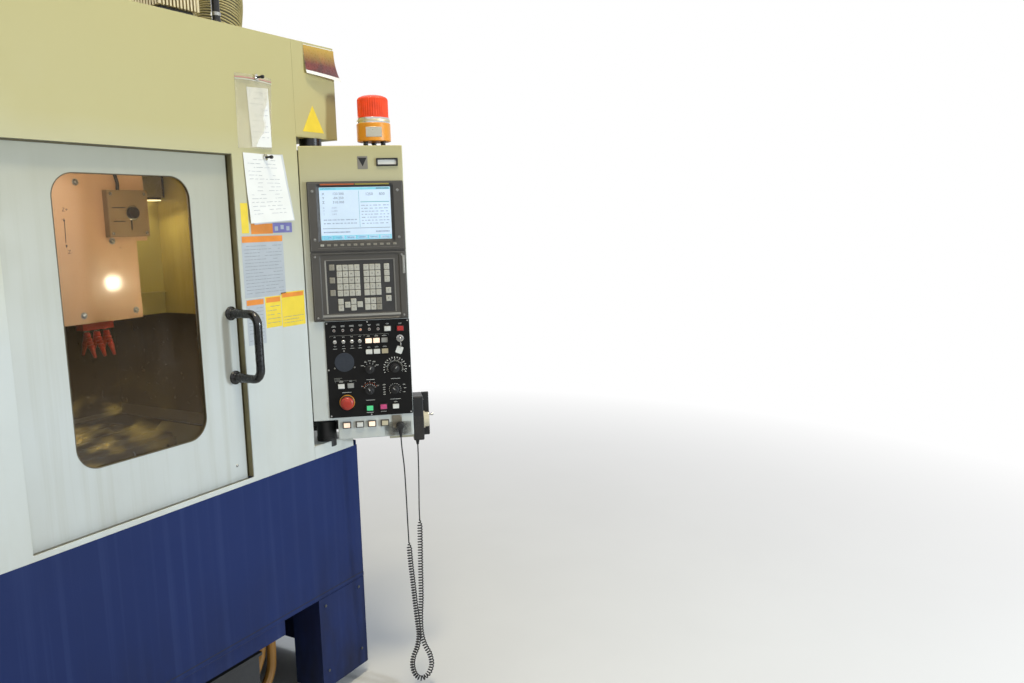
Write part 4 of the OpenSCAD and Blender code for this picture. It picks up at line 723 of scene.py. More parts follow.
FINISHES = [
    (TOOL_STEEL, "leveling_feet spindle"),
    (CASTING, "machine_bed column saddle spindle_head"),
    (BLACK_METAL, "axis_motors work_lamp spindle_motor pendant_post"),
    (BLUE, "base_front_cover base_side_covers"),
    (CREAM, "corner_panel front_panel pendant_housing"),
    (CABINET_CREAM, "side_roof_panels electrical_cabinet cabinet_door"),
    (GUARD, "chamber_liner"),
    (OILY, "door_tracks magazine_carriage"),
    (SWITCH_RED, "main_switch"),
    (TANK, "coolant_tank"),
    (HOSE, "coolant_hoses"),
    (ALLOY, "roof_motor"),
    (CONDUIT, "roof_conduit"),
    (WAY, "way_cover"),
    (BRASSY, "table"),
    (HEAD_CREAM, "head_cover"),
    (NOZZLE_RED, "coolant_nozzles"),
    (RELEASE_BEIGE, "tool_release_box"),
    (BLACK, "tool_release_button mode_knob spindle_knob feed_knob rapid_knob cord_plug mpg_body"),
    (MACHINED, "magazine_disc"),
    (DOOR_CREAM, "door"),
    (PANE, "door_window"),
    (HANDLE, "door_handle"),
    (UNIT_GREY, "display_unit keyboard_unit"),
    (SCREEN, "display_screen"),
    (KEY, "key_caps"),
    (PLATE, "control_panel"),
    (CAP_WHITE, "panel_buttons power_on_button"),
    (CHROME, "toggle_switches panel_key"),
    (CAP_RED, "power_off_button"),
    (LIT_GREEN, "cycle_start_button"),
    (LIT_PINK, "feed_hold_button"),
    (RED_HEAD, "e_stop_button"),
    (WHEEL, "mpg_wheel"),
    (AMBER, "beacon_base"),
    (LENS, "beacon_lens"),
    (CORD, "cord_lead cord_coil"),
]
NODE_FINISH = {name: material for material, names in FINISHES for name in names.split()}
for name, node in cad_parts.items():
    node.data.materials.clear()
    node.data.materials.append(NODE_FINISH[name])


# Enclosure

def front_skin():
    p = Piece("front_skin", "frame")
    p.ring(inset(-308.5, 1507, 1653, 1320, 2), inset(-79, 1336, 672, 948, 1), FRONT, FRONT + 3, CREAM, 0.4)
    p.boxes(TRIM_CREAM, 0.6, (257, 260, -998, -938, 862, 1810), (-418, -415, -998, -981, 862, 1810),
            (-418, 260, -998, -981, 1810, 1813))
    p.done(["front_panel"], "cream")


def jamb_strips():
    p = Piece("jamb_strips", "frame")
    # The olive strip on the jamb's side wall is painted shade over the cream return.
    p.box(255.2, 257, -996.5, -981, 864, 1808, OLIVE_TRACK_AND_JAMB_SHADE, 0.5)
    # Dark strips beside the door's edge and under the lintel: painted shadow in the gaps.
    p.box(255.6, 257, -980, -940, 864, 1808, JAMB_PAINTED_SHADOW, 0.4)
    p.box(-414, 255, -986, -981.2, 1806, 1809.8, JAMB_PAINTED_SHADOW, 0.8)
    p.done(slot="steel")


def sill_lines():
    """The track and drip edge that show under the door."""
    p = Piece("sill_lines", "frame")
    p.boxes(OLIVE_TRACK_AND_JAMB_SHADE, 0.8, (-1118, 255, -999.4, -981.5, 850.2, 853.2),
            (-1118, 255, -988.5, -984, 853, 858))
    p.box(-1118, 255, -999.6, -997.2, 853.2, 856.4, SCREW, 0.6)
    p.done(slot="steel")


def body_screws():
    p = Piece("cover_screws", "frame")
    for x in (525, 694, -953, -1122):
        for z in (338, 107):
            p.hexagon(x, FRONT, z, 5.2, 3, CAST_DARK)
    for z in (900, 1150, 1400, 1650, 1900, 2130):
        for y in (-780, 200):
            p.screw(707, y, z, 6, axis=ALONG, slot=z)
            p.screw(-1135, y, z, 6, axis=(-1, 0, 0), slot=z + 30)
    for x in (-1080, -700, -340, 340, 660):
        p.screw(x, -960, ROOF, 6, axis=UP, slot=x)
        p.screw(x, 215, ROOF, 6, axis=UP, slot=x + 40)
    for z in (200, 500, 780):
        for y in (-940, -400, 100, 600):
            p.screw(724, y, z, 6.5, axis=ALONG, slot=z + y)
            p.screw(-1152, y, z, 6.5, axis=(-1, 0, 0), slot=z - y)
    p.done(slot="steel")


def hem_line():
    """The folded hem along the apron's lower edge, with painted shadow lines in the gap above it and at the
    fold of the strip behind it.
    """
    p = Piece("apron_hem", "frame")
    p.tube([(x, FRONT - 0.2, 371.5) for x in range(-1150, 724, 60)] + [(722.5, FRONT - 0.2, 371.5)], 1.8,
           BLUE, 10)
    # Dark strips: painted shadow in the hem's gap and at the fold behind it.
    p.box(-1151, 723, -1000.5, -999.5, 384, 386.4, BLUE_PAINTED_SHADOW, 0.2)
    p.box(-767, 341, -996.9, -996.4, 366.5, 369.6, BLUE_PAINTED_SHADOW, 0)
    p.done(slot="blue")


# Sliding door

def window_outline(grow):
    """The window's outline, larger by this much all told."""
    return inset(-77, 1379, 392 + grow, 726 + grow, 60 + grow / 2, 12, 1)


def door_leaf():
    p = Piece("door_leaf", "door")
    p.ring(inset(-100.5, 1365.5, 709, 1029, 4, 12, 1), window_outline(0), DOOR_FACE, DOOR_FACE + 5,
           DOOR_CREAM, 1.6)
    p.ring(window_outline(80), window_outline(36), -973.2, -944, DOOR_CREAM, 0.8)
    p.boxes(TRIM_CREAM, 0.8, (-455, -452, -975, -944, 851, 1880), (251, 254, -975, -944, 851, 1880),
            (-452, 251, -975, -944, 1877, 1880), (-452, 251, -975, -964.2, 851, 867),
            (-452, 251, -957.8, -944, 851, 867))
    for x in (-395, 134):
        p.box(x, x + 60, -946, -930, 1860, 1880, OILY, 1)
        p.box(x, x + 60, -942, -930, 1860.2, 1868, RUBBER, 1)
    p.done(["door"], "cream")


def window_seal():
    p = Piece("window_seal", "door")
    p.ring(window_outline(1.6), window_outline(-3.4), -978.7, -972.5, WINDOW_EDGE, 0.8)
    p.done(slot="black")


def pull_handle():
    p = Piece("pull_handle", "door")
    x, r, bend = 232, 12.5, 30
    low, high, reach = 1167.5, 1356.5, -1084
    turn = [polar(bend, 9 * i) for i in range(11)]
    path = [(x, y, low) for y in (DOOR_FACE, -1010, -1040)]
    path += [(x, reach + bend - b, low + bend - a) for a, b in turn]
    path += [(x, reach, z) for z in (low + 60, low + 94.5, high - 60)]
    path += [(x, reach + bend - a, high - bend + b) for a, b in turn]
    path += [(x, y, high) for y in (-1040, -1010, DOOR_FACE)]
    p.tube(path, r, HANDLE, 24)
    for z in (low, high):
        p.lathe([(20.5, 0), (20.5, 3), (19, 5), (15, 6.5), (13.4, 10), (12.6, 10.5)], HANDLE,
                (x, DOOR_FACE, z), OUT)
        p.lathe([(13.5, 20), (14.4, 21), (14.4, 27), (13.5, 28), (12.4, 28.4), (12.4, 19.6)], HANDLE,
                (x, DOOR_FACE, z), OUT, 28)
    p.done(["door_handle"], "black")


def door_details():
    p = Piece("door_fittings", "door")
    # A dark strip at the door's right edge: painted shadow in the gap by the jamb.
    p.box(251.4, 253.6, -979.2, -977.6, 862, 1808, JAMB_PAINTED_SHADOW, 0.5)
    for z in (905, 1840):
        for x in (-420, 215):
            p.screw(x, DOOR_FACE, z, 4.5, slot=x)
    p.done(slot="black")


# Papers, magnets and plain labels on the front

def leaf(corners, curl, lift, lean):
    """A sheet hung from its upper edge, as a function that places its points."""
    (x0, z0), (x1, z1), (x2, z2), (x3, z3) = corners

    def place(u, v):
        top = (x0 + (x1 - x0) * u, z0 + (z1 - z0) * u)
        low = (x3 + (x2 - x3) * u, z3 + (z2 - z3) * u)
        x, z = top[0] + (low[0] - top[0]) * v, top[1] + (low[1] - top[1]) * v
        wave = 1.1 * math.sin(5 * u + 3 * v) + 0.8 * math.sin(9 * v + 2 * u)
        return (x, FRONT - lift - curl * v * v * (0.6 + 0.4 * u) - lean * u * v - abs(wave) * v, z)
    return place


def written(p, place, rows, left, right):
    """Rows of short pencil strokes on a sheet."""
    for r in range(rows):
        v = 0.09 + 0.84 * r / rows
        u = left + 0.02 * dice.random()
        while u < right - 0.05:
            end = min(u + 0.04 + 0.13 * dice.random(), right)
            if dice.random() < 0.8:
                a, b = Vector(place(u, v)), Vector(place(end, v + 0.004 * dice.uniform(-1, 1)))
                half = (b - a).length / 2
                turn = math.degrees(math.atan2(b.z - a.z, b.x - a.x))
                p.box(-half, half, -0.06, 0.06, -0.55, 0.55, PENCIL, 0,
                      move=spin((a + b) / 2 + Vector((0, -0.42, 0)), -turn, "Y"))
            u = end + 0.015 + 0.03 * dice.random()


def papers():
    back = leaf([(303, 1812), (455, 1818), (482, 1620), (322, 1609)], 3, 1.2, 5)
    front = leaf([(297, 1816), (446, 1815), (470, 1622), (306, 1613)], 7, 2.4, 7)
    upper = leaf([(328, 2003), (411, 2007), (408, 1836), (334, 1834)], 2, 1.6, 2)
    p = Piece("paper_sheets", "frame")
    # The sheet behind is greyer: painted shade cast by the sheet over it.
    p.sheet(back, 14, 16, PAPER_PAINTED_SHADE)
    p.sheet(front, 14, 16, PAPER)
    p.sheet(upper, 8, 12, PAPER)
    p.done(slot="white")
    q = Piece("paper_lines", "frame")
    written(q, front, 15, 0.08, 0.86)
    written(q, upper, 9, 0.1, 0.9)
    q.done(slot="white")


def bag():
    p = Piece("clear_bag", "frame")

    def place(u, v):
        left, right = 286 - 4 * v, 427 - 15 * v
        x = left + (right - left) * u
        z = 2037 - 209 * v + 2.5 * math.sin(3.1 * u)
        belly = math.sin(math.pi * u)
        out = 1.1 + 7.0 * belly ** 0.8 * (0.25 + v * (1.25 - v))
        out += 1.2 * math.sin(11 * u + 4 * v) * belly + 0.8 * math.sin(17 * v + 3 * u) * u * (1 - u) * 2
        return (x, FRONT - out, z)
    p.sheet(place, 26, 34, BAG, 0.3)
    p.done(slot="glass")
    q = Piece("bag_zip", "frame")
    for d, m in ((0, PINK), (5.2, CAP_WHITE)):
        path = [Vector(place(u / 20, 0.05 + d / 209)) + Vector((0, -0.7, 0)) for u in range(21)]
        q.tube(path, 0.9, m, 8)
    q.done(slot="red")


def magnets():
    p = Piece("magnets", "frame")
    for x, z, lean in ((365, 2033, (0.35, -1, 0.05)), (381, 1806, (0.3, -1, 0.02))):
        axis = Vector(lean).normalized()
        p.lathe([(8.5, 0), (9.6, 0.8), (9.6, 4.2), (8.6, 5)], CHROME, (x, FRONT - 2.5, z), axis, 28)
        p.lathe([(3.4, 4), (3.2, 15), (4.6, 17), (5.4, 20), (5.2, 24), (3.6, 26)], BLACK,
                (x, FRONT - 2.5, z), axis, 24)
    p.done(slot="black")


def patch(p, corners, lift, material, thick):
    """A label with its rim drawn in a little at the front."""
    cx, cz = sum(c[0] for c in corners) / 4, sum(c[1] for c in corners) / 4
    rings = []
    for pull, out in ((0.4, thick), (0, thick * 0.6), (0, 0)):
        outline = [(x + pull * (1 if x < cx else -1), z + pull * (1 if z < cz else -1)) for x, z in corners]
        rings.append(at_depth(FRONT - lift - out, outline))
    p.loft(rings, material)


def printed(p, x0, x1, z0, z1, count, material):
    """Rows of small blocks in place of print."""
    for r in range(count):
        z = z1 - (z1 - z0) * (r + 0.5) / count
        x = x0
        while x < x1 - 4:
            end = min(x + dice.uniform(5, 22), x1)
            if dice.random() < 0.86:
                p.box(x, end, FRONT - 0.75, FRONT - 0.45, z - 0.7, z + 0.7, material, 0)
            x = end + dice.uniform(1.6, 3.4)


def labels():
    p = Piece("plain_labels", "frame")
    full, band = 0.3, 0.15
    for x0, x1, z0, z1, lift, material, thick in (
            (275, 302, 1585, 1672, 0.2, YELLOW_LABEL, full), (270, 434, 1396, 1578, 0.2, GREY_LABEL, full),
            (272, 432, 1558, 1576, 0.5, ORANGE_LABEL, band), (272, 342, 1256, 1392, 0.2, GREY_LABEL, full),
            (274, 340, 1374, 1390, 0.5, ORANGE_LABEL, band), (346, 410, 1300, 1394, 0.2, YELLOW_LABEL, full),
            (412, 511, 1295, 1402, 0.2, YELLOW_LABEL, full), (350, 407, 1376, 1391, 0.5, ORANGE_LABEL, band),
            (416, 507, 1386, 1399, 0.5, ORANGE_LABEL, band), (310, 396, 1582, 1612, 0.3, ORANGE_LABEL, full),
            (396, 476, 1584, 1614, 0.3, VIOLET_LABEL, full), (404, 417, 1590, 1603, 0.7, GREY_LABEL, band),
            (428, 441, 1594, 1607, 0.7, GREY_LABEL, band), (452, 465, 1590, 1603, 0.7, GREY_LABEL, band)):
        patch(p, [(x0, z0), (x1, z0), (x1, z1), (x0, z1)], lift, material, thick)
    rings = []
    for grow, y in ((0.984, FRONT - 0.6), (1, FRONT - 0.4), (1, FRONT)):
        triangle = [(597 + dx * grow, 1922 + dz * grow) for dx, dz in ((-48, -27), (48, -27), (1, 55))]
        rings.append(at_depth(y, triangle))
    p.loft(rings, YELLOW_LABEL)
    p.done(slot="white")
    q = Piece("label_lines", "frame")
    printed(q, 278, 426, 1404, 1552, 15, LABEL_LINES)
    printed(q, 278, 336, 1264, 1370, 10, LABEL_LINES)
    printed(q, 352, 404, 1308, 1370, 5, DIM_LEGEND)
    printed(q, 420, 504, 1303, 1330, 3, DIM_LEGEND)
    q.done(slot="white")


def curled_print():
    p = Piece("curled_print", "frame")

    def place(u, v):
        out = 1.0 + 26 * (v ** 2.2) * (0.4 + 0.6 * u) + 3.0 * math.sin(3 * u) * v
        return (570 + 139 * u, FRONT - out, 2161 - (88 + 12 * u) * v)

    def picture(u, v):
        x, y, z = place(u, 0.02 + 0.86 * v)
        return (x, y - 0.35, z)

    p.sheet(place, 16, 12, PAPER, 0.3)
    p.sheet(picture, 16, 10, PRINT, 0.1)
    p.done(slot="white")


# Roof

def roof_units():
    p = Piece("roof_blower", "frame")
    x0, y0 = 260, -760
    # The neck under the fins is drawn black: a mount, its darkness painted shade under the fins.
    p.box(x0 - 57, x0 + 57, y0 - 57, y0 + 57, ROOF, 2230, BLACK_METAL, 4)
    p.box(x0 - 62, x0 + 62, y0 - 62, y0 + 62, 2229, 2429, OILY, 1)
    for turn in range(4):
        place = spin((x0, y0, 0), 90 * turn, "Z")
        for k in range(10):
            x = -54 + 12 * k
            p.box(x - 3.4, x + 3.4, -70, -61, 2229.3, 2429, ALLOY, 1.4, 3, move=place)
        p.box(62.5, 70, -70, -62.5, 2229, 2429, ALLOY, 2, 3, move=place)
        p.box(61, 68, -68, -61, 2229.6, 2428, ALLOY, 0.5, move=place)
    p.box(x0 - 67, x0 + 67, y0 - 67, y0 + 67, 2429, 2453, ALLOY, 6, 3)
    for dx in (-52, 52):
        for dy in (-52, 52):
            p.hexagon(x0 + dx, y0 + dy, 2453, 7, 4, axis=UP)
            p.hexagon(x0 + dx * 1.02, y0 + dy * 1.02, ROOF, 6, 4, axis=UP)
    p.lathe([(25, ROOF), (25, 2185), (24, 2188), (14, 2228), (12.5, 2232), (12.5, 2429), (17, 2430),
             (19, 2432), (19, 2450), (17, 2453.6), (10, 2455), (0.5, 2455)], BLACK_METAL, (416, -800, 0),
            n=36)
    p.lathe([(12.6, 2240), (14.2, 2241), (14.2, 2251), (12.6, 2252)], SCREW, (416, -800, 0), n=36)
    for k in range(4):
        dx, dy = polar(21, 90 * k + 40)
        p.hexagon(416 + dx, -800 + dy, 2186, 3.6, 3.4, axis=UP)
    p.done(["roof_motor"], "aluminium")


def roof_sleeve():
    """A ribbed duct: raised bands round an inner hose, whose dark colour is painted shade in the grooves
    between the bands.
    """
    p = Piece("roof_sleeve", "frame")
    band_pitch = 8.4
    bend = [(0, 0, 20), (18, 0, 80), (38, 14, 150), (56, 56, 205), (74, 126, 232), (92, 200, 215),
            (108, 250, 150), (112, 274, 80), (112, 280, 20)]
    route = [Vector((0, 0, 0.3))] + curve_through(bend, 24) + [Vector((112, 280, 0.3))]
    route = [q + Vector((505, -690, 2185)) for q in route]
    # The inner hose is dark: painted shade in the grooves between the bands.
    p.tube(route, 69, CONDUIT_GROOVE_SHADE, 32)
    lengths = measured(route)
    at, k = 5.0, 0
    while at < lengths[-1] - 4:
        while lengths[k + 1] < at:
            k += 1
        centre = route[k].lerp(route[k + 1], (at - lengths[k]) / (lengths[k + 1] - lengths[k]))
        ahead = (route[k + 1] - route[k]).normalized()
        side, up = across(ahead, Vector(ALONG))
        lean = 0.10 * min(1.0, at / 60, (lengths[-1] - at) / 60)
        rings = []
        for j in range(7):
            wide, _ = polar(2.9, 360 * j / 7)
            _, rise = polar(2.5, 360 * j / 7)
            rings.append(ring_round(centre + ahead * rise, side - ahead * lean, up, 71 + wide, 32))
        p.loft(rings, CONDUIT, cyclic=True)
        at += band_pitch
    for x, y in ((505, -690), (617, -410)):
        p.lathe([(72, ROOF), (80, 2168.5), (80, 2182), (77, 2185), (68, 2185)], BLACK_METAL, (x, y, 0),
                n=48)
        for i in range(8):
            dx, dy = polar(76.2, 45 * i + 10)
            p.screw(x + dx, y + dy, 2184, 3, axis=UP, slot=45 * i)
    p.done(["roof_conduit"], "conduit")


# Machine inside the window

def head_details():
    p = Piece("head_fittings", "head")
    for x, z in ((25, 1742), (124, 1572), (13, 1361), (-180, 1742), (-180, 1361), (184, 1361),
                 (-180, 1560)):
        p.lathe([(7, 0), (7, 2.4), (5, 4.4), (1.5, 4.8)], SCREW, (x, HEAD_FACE, z), OUT, 20)
        p.lathe([(10, 0), (10, 0.8)], SCREW, (x, HEAD_FACE, z), OUT, 24)
    p.box(105.5, 239.5, -642.4, -640.3, 1583.5, 1720.5, RELEASE_BEIGE, 0.9)
    for x in (116, 229):
        for z in (1594, 1710):
            p.screw(x, -642.4, z, 5, slot=x + z)
    p.ring(disc(184, 1654, 22), disc(184, 1654, 14.6), -644.7, -642.3, CHROME, 0.8)
    p.boxes(KEY_MARK, 0.1, (118, 162, -643, -642.3, 1668, 1671), (120, 158, -643, -642.3, 1628, 1631),
            (176, 181, -643, -642.3, 1604, 1636))
    lead = [(150, -630, 1720), (150, -632, 1740), (146, -630, 1762), (140, -624, 1790), (130, -600, 1801)]
    p.tube(lead, 5, BLACK)
    p.done(slot="steel")


def nozzle_segments():
    """Ball and socket coolant pipes under the head."""
    p = Piece("nozzle_segments", "head")
    for i in range(3):
        x, y, z = 63 + 32 * i, -548, 1310
        p.lathe([(8.6, 0), (10.5, 1), (10.5, 6), (8, 8)], CHROME, (x, y, z), (0, 0, -1), 6)
        down, out = polar(1, 24)
        axis = Vector((0, -out, -down))
        start = Vector((x, y, z - 12))
        for k in range(4):
            at = start + axis * (2 + 11.5 * k)
            p.lathe([(5.5, 0), (8.8, 2), (9.3, 5), (8.6, 8.5), (6.4, 10), (7.6, 11.3)], NOZZLE_RED, at,
                    axis, 22)
        p.lathe([(7.4, 46), (7.4, 50), (6, 58), (4.2, 74), (3.4, 76)], NOZZLE_RED, start, axis, 22)
    p.done(slot="red")


def chamber_skin():
    """Dark oily sheets over the chamber's walls, with the rear wall's screws."""
    p = Piece("chamber_skin", "frame")
    p.boxes(LINING, 0, (-1131.8, -1130.6, -980, 244, 866, 2160), (-1130, -284, 244.6, 245.8, 866, 2160),
            (284, 703, 244.6, 245.8, 866, 2160), (702.6, 703.8, -806, 244, 892, 2160),
            (262, 514, -996.6, -995.6, 892, 1308), (-278, 278, -1.4, -0.4, 1560, 2040))
    for x in (-1000, -780, -560, -340, 340, 560):
        for z in (900, 1300, 1700, 2100):
            p.screw(x, 244.6, z, 6, slot=x + z)
    p.done(slot="steel")


def head_marks():
    p = Piece("head_marks", "head")
    p.tube([(-18.5, HEAD_FACE - 0.6, 1632), (-20, HEAD_FACE - 0.6, 1572)], 0.9, KEY_MARK, 6)
    for z, tip in ((1632, 1641), (1566, 1557)):
        arrow = [(-22.2, z), (-16, z), (-19.2, tip)]
        p.loft([at_depth(HEAD_FACE - lift, arrow) for lift in (0.9, 0.2)], KEY_MARK)
    p.text("Z+", KEY_MARK, -14, 1664, HEAD_FACE - 0.5, 15)
    p.text("Z-", KEY_MARK, -10, 1545, HEAD_FACE - 0.5, 15)
    p.done(slot="cover")


def lamp():
    p = Piece("lamp_glass", "frame")
    p.box(302, 488, -386, -349, 1700.5, 1704.4, LAMP_LENS, 1.2)
    p.box(300, 490, -391.6, -390.8, 1712, 1783, SCREW, 0.3)
    p.done(slot="lamp")


def spindle_ring():
    p = Piece("spindle_ring", "head")
    p.lathe([(46, 1264), (60, 1263.5), (61.4, 1266), (61.4, 1286), (60, 1288)], CHROME, (0, -430, 0), n=48)
    for i in range(6):
        x, y = polar(53.5, 60 * i + 20)
        p.screw(x, -430 + y, 1264, 3.6, SOCKET, (0, 0, -1))
    p.done(slot="steel")


for build in (front_skin, jamb_strips, sill_lines, body_screws, hem_line, door_leaf, window_seal,
              pull_handle, door_details, papers, bag, magnets, labels, curled_print, roof_units,
              roof_sleeve, head_details, nozzle_segments, spindle_ring, chamber_skin, head_marks, lamp):
    build()


# Operator panel

def panel_piece(name, body="pendant"):
    return Piece(name, body, PANEL)


# Depths on the panel: the control plate's face, and the foot and top of its print
PLATE_FACE, PRINT_FOOT, PRINT_TOP = -3, -2.98, -3.16


def on_plate(at):
    return 54 + at[0], 981 + at[1]


def on_face(at, y=PLATE_FACE):
    """A point of the control plate, given from its lower left corner, at this depth."""
    x, z = on_plate(at)
    return x, y, z


def housing():
    p = panel_piece("panel_housing")
    outline = [(79, 907), (324, 907), (324, 1848), (2, 1848), (2, 973), (79, 973)]
    part = bmesh.new()
    front, back = [[part.verts.new(v) for v in at_depth(y, outline)] for y in (0, 140)]
    part.faces.new(front)
    part.faces.new(list(reversed(back)))
    for i in range(6):
        j = (i + 1) % 6
        part.faces.new((front[j], front[i], back[i], back[j]))
    bmesh.ops.recalc_face_normals(part, faces=part.faces)
    bmesh.ops.bevel(part, geom=part.edges[:], offset=3.2, segments=4, profile=0.5, affect="EDGES",
                    clamp_overlap=True)
    p.take(part, CREAM)
    for z in (1000, 1250, 1500, 1750):
        for x in (14, 312):
            p.screw(x, 140, z, 5, axis=(0, 1, 0), slot=z)
    p.done(["pendant_housing"], "cream")
    q = panel_piece("housing_seams")
    q.box(-9, 2.6, 128, 139, 976, 1846, TRIM_CREAM, 1)
    # A dark plate behind the notch: the hinge bracket, drawn black also as painted shade of the recess
    # behind the pendant.
    q.box(-9, 77, 131, 137, 911, 975.4, BLACK_METAL, 0.6)
    q.boxes(TRIM_CREAM, 0.3, (323.2, 324.5, 14, 15.4, 912, 1843), (4, 322, 14, 15.4, 1847.2, 1848.5))
    for z in (935, 1180, 1420, 1660, 1820):
        q.screw(324, 60, z, 4.4, axis=ALONG, slot=z)
        q.screw(324, 122, z, 4.4, axis=ALONG, slot=z + 30)
    q.done(slot="steel")
    s = panel_piece("top_cards")
    s.slab(inset(198.5, 1795, 32, 40, 1.5), -0.9, 0, SYMBOL_GREY, 0.3)
    s.loft([at_depth(y, [(185, 1810), (212, 1810), (198.5, 1783)]) for y in (-1.2, -0.8)], BLACK)
    s.ring(inset(275, 1796, 68, 25, 2), inset(275, 1796, 58, 15, 1), -5, 0, BLACK, 1)
    s.slab(inset(275, 1796, 58, 15, 1), -1.6, 0, CARD, 0.3)
    s.done(slot="white")


def unit_outline(z, step):
    """The outline of a unit whose foot is at height z, drawn in by a step."""
    return inset(172, z + 109.85, 299 - 2 * step, 219.7 - 2 * step, 3 - min(step, 1.5))


def display():
    p = panel_piece("display_frame")

    def hole(grow):
        return inset(170, 1637.5, 221 + grow, 165 + grow, 3 + grow / 4)

    p.ring(unit_outline(1518, 0), hole(14), -9, 0, UNIT_GREY, 1.2)
    p.ring(unit_outline(1518, 4), hole(18), -12, -8.6, UNIT_GREY, 1.3)
    steps = ((-11.2, 18), (-8.6, 8), (-6.4, 0), (-5.4, 0), (-5.4, 18))
    p.loft([at_depth(y, hole(grow)(0)) for y, grow in steps], FIELD, cyclic=True)
    p.boxes(UNIT_RIM, 0.1, (26.6, 317.4, -12.35, -11.9, 1733.2, 1733.9),
            (26.8, 27.6, -12.35, -11.9, 1524, 1732))
    p.box(64, 168, -12.3, -11.8, 1726.2, 1730.6, STRIP_ORANGE, 0.2)
    p.box(171, 277, -12.3, -11.8, 1726.2, 1730.6, STRIP_OLIVE, 0.2)
    p.box(48, 302, -12.5, -11.8, 1530, 1530.9, UNIT_RIM, 0.1)
    p.box(48, 302, -12.5, -11.8, 1548.6, 1549.4, FIELD, 0.1)
    for x, zz in ((302.5, 1708), (302.5, 1560), (39, 1557.6), (39, 1708)):
        p.ring(disc(x, zz, 5.2, 24), disc(x, zz, 4.0, 24), -12.5, -11, UNIT_RIM, 0.3)
        p.screw(x, -11.6, zz, 3.8, slot=x + zz)
    p.done(["display_unit"], "gray")
    k = panel_piece("soft_keys")
    for n in range(12):
        x = 55.5 + 20.6 * n
        k.box(x, x + 11, -13.4, -11.5, 1536.6, 1543, KEY if n == 0 else KEY_DARK, 0.9, 3)
        k.box(x + 4.3, x + 6.7, -13.5, -13.3, 1539.4, 1540.2, KEY_MARK, 0)
    k.done(slot="keys")


def screen():
    p = panel_piece("screen_glass")
    p.slab(inset(170, 1637.5, 220.4, 164.4, 2), -8.6, -6, SCREEN, 0.7)
    y = -8.75

    def cell(x0, x1, z0, z1, material):
        p.box(x0, x1, y, y + 0.12, z0, z1, material, 0)

    cell(61, 279, 1711, 1718.4, SCREEN_CYAN)
    cell(64, 110, 1713, 1716.6, SCREEN_DARK)
    cell(236, 276, 1713, 1716.6, SCREEN_DARK)
    cell(61, 279, 1556.5, 1570, SCREEN_CYAN)
    for n in range(6):
        cell(64 + 36 * n, 95 + 36 * n, 1558.2, 1568.2, SCREEN)
        cell(69 + 36 * n, 90 + 36 * n, 1562, 1564.6, SCREEN_TEXT)
    cell(186, 276, 1672, 1674, SCREEN_TEAL)
    cell(66, 276, 1591, 1592.4, SCREEN_DARK)
    cell(181, 182, 1594, 1708, SCREEN_TEAL)
    for r, (axis, value) in enumerate((("X", "120.500"), ("Y", "-84.250"), ("Z", "310.000"))):
        zz = 1699 - 13 * r
        p.text(axis, SCREEN_DARK, 72, zz, y - 0.05, 11)
        p.text(value, SCREEN_DARK, 118, zz, y - 0.05, 11)
    for r in range(3):
        zz = 1656 - 10 * r
        p.text("XYZ"[r], SCREEN_TEXT, 72, zz, y - 0.05, 7)
        p.text(("0.000", "12.400", "7.850")[r], SCREEN_TEXT, 104, zz, y - 0.05, 7)

    def words(x, end, spare, z, tall, widths, gap):
        """A row of small blocks in place of words; the last may pass the end by the spare width."""
        while x < end:
            w = dice.uniform(*widths)
            cell(x, min(x + w, end + spare), z, z + tall, SCREEN_TEXT)
            x += w + dice.uniform(2, gap)

    for r in range(2):
        words(70, 170, 2, 1617 - 11 * r, 3, (5, 15), 5)
    p.text("1250", SCREEN_DARK, 214, 1697, y - 0.05, 12)
    p.text("800", SCREEN_DARK, 254, 1697, y - 0.05, 12)
    for r in range(7):
        words(188, 270, 4, 1661 - 9.4 * r, 2.4, (4, 14), 7)
    cell(68, 150, 1578, 1582, SCREEN_TEXT)
    cell(230, 274, 1578, 1582, SCREEN_TEXT)
    p.done(["display_screen"], "screen")


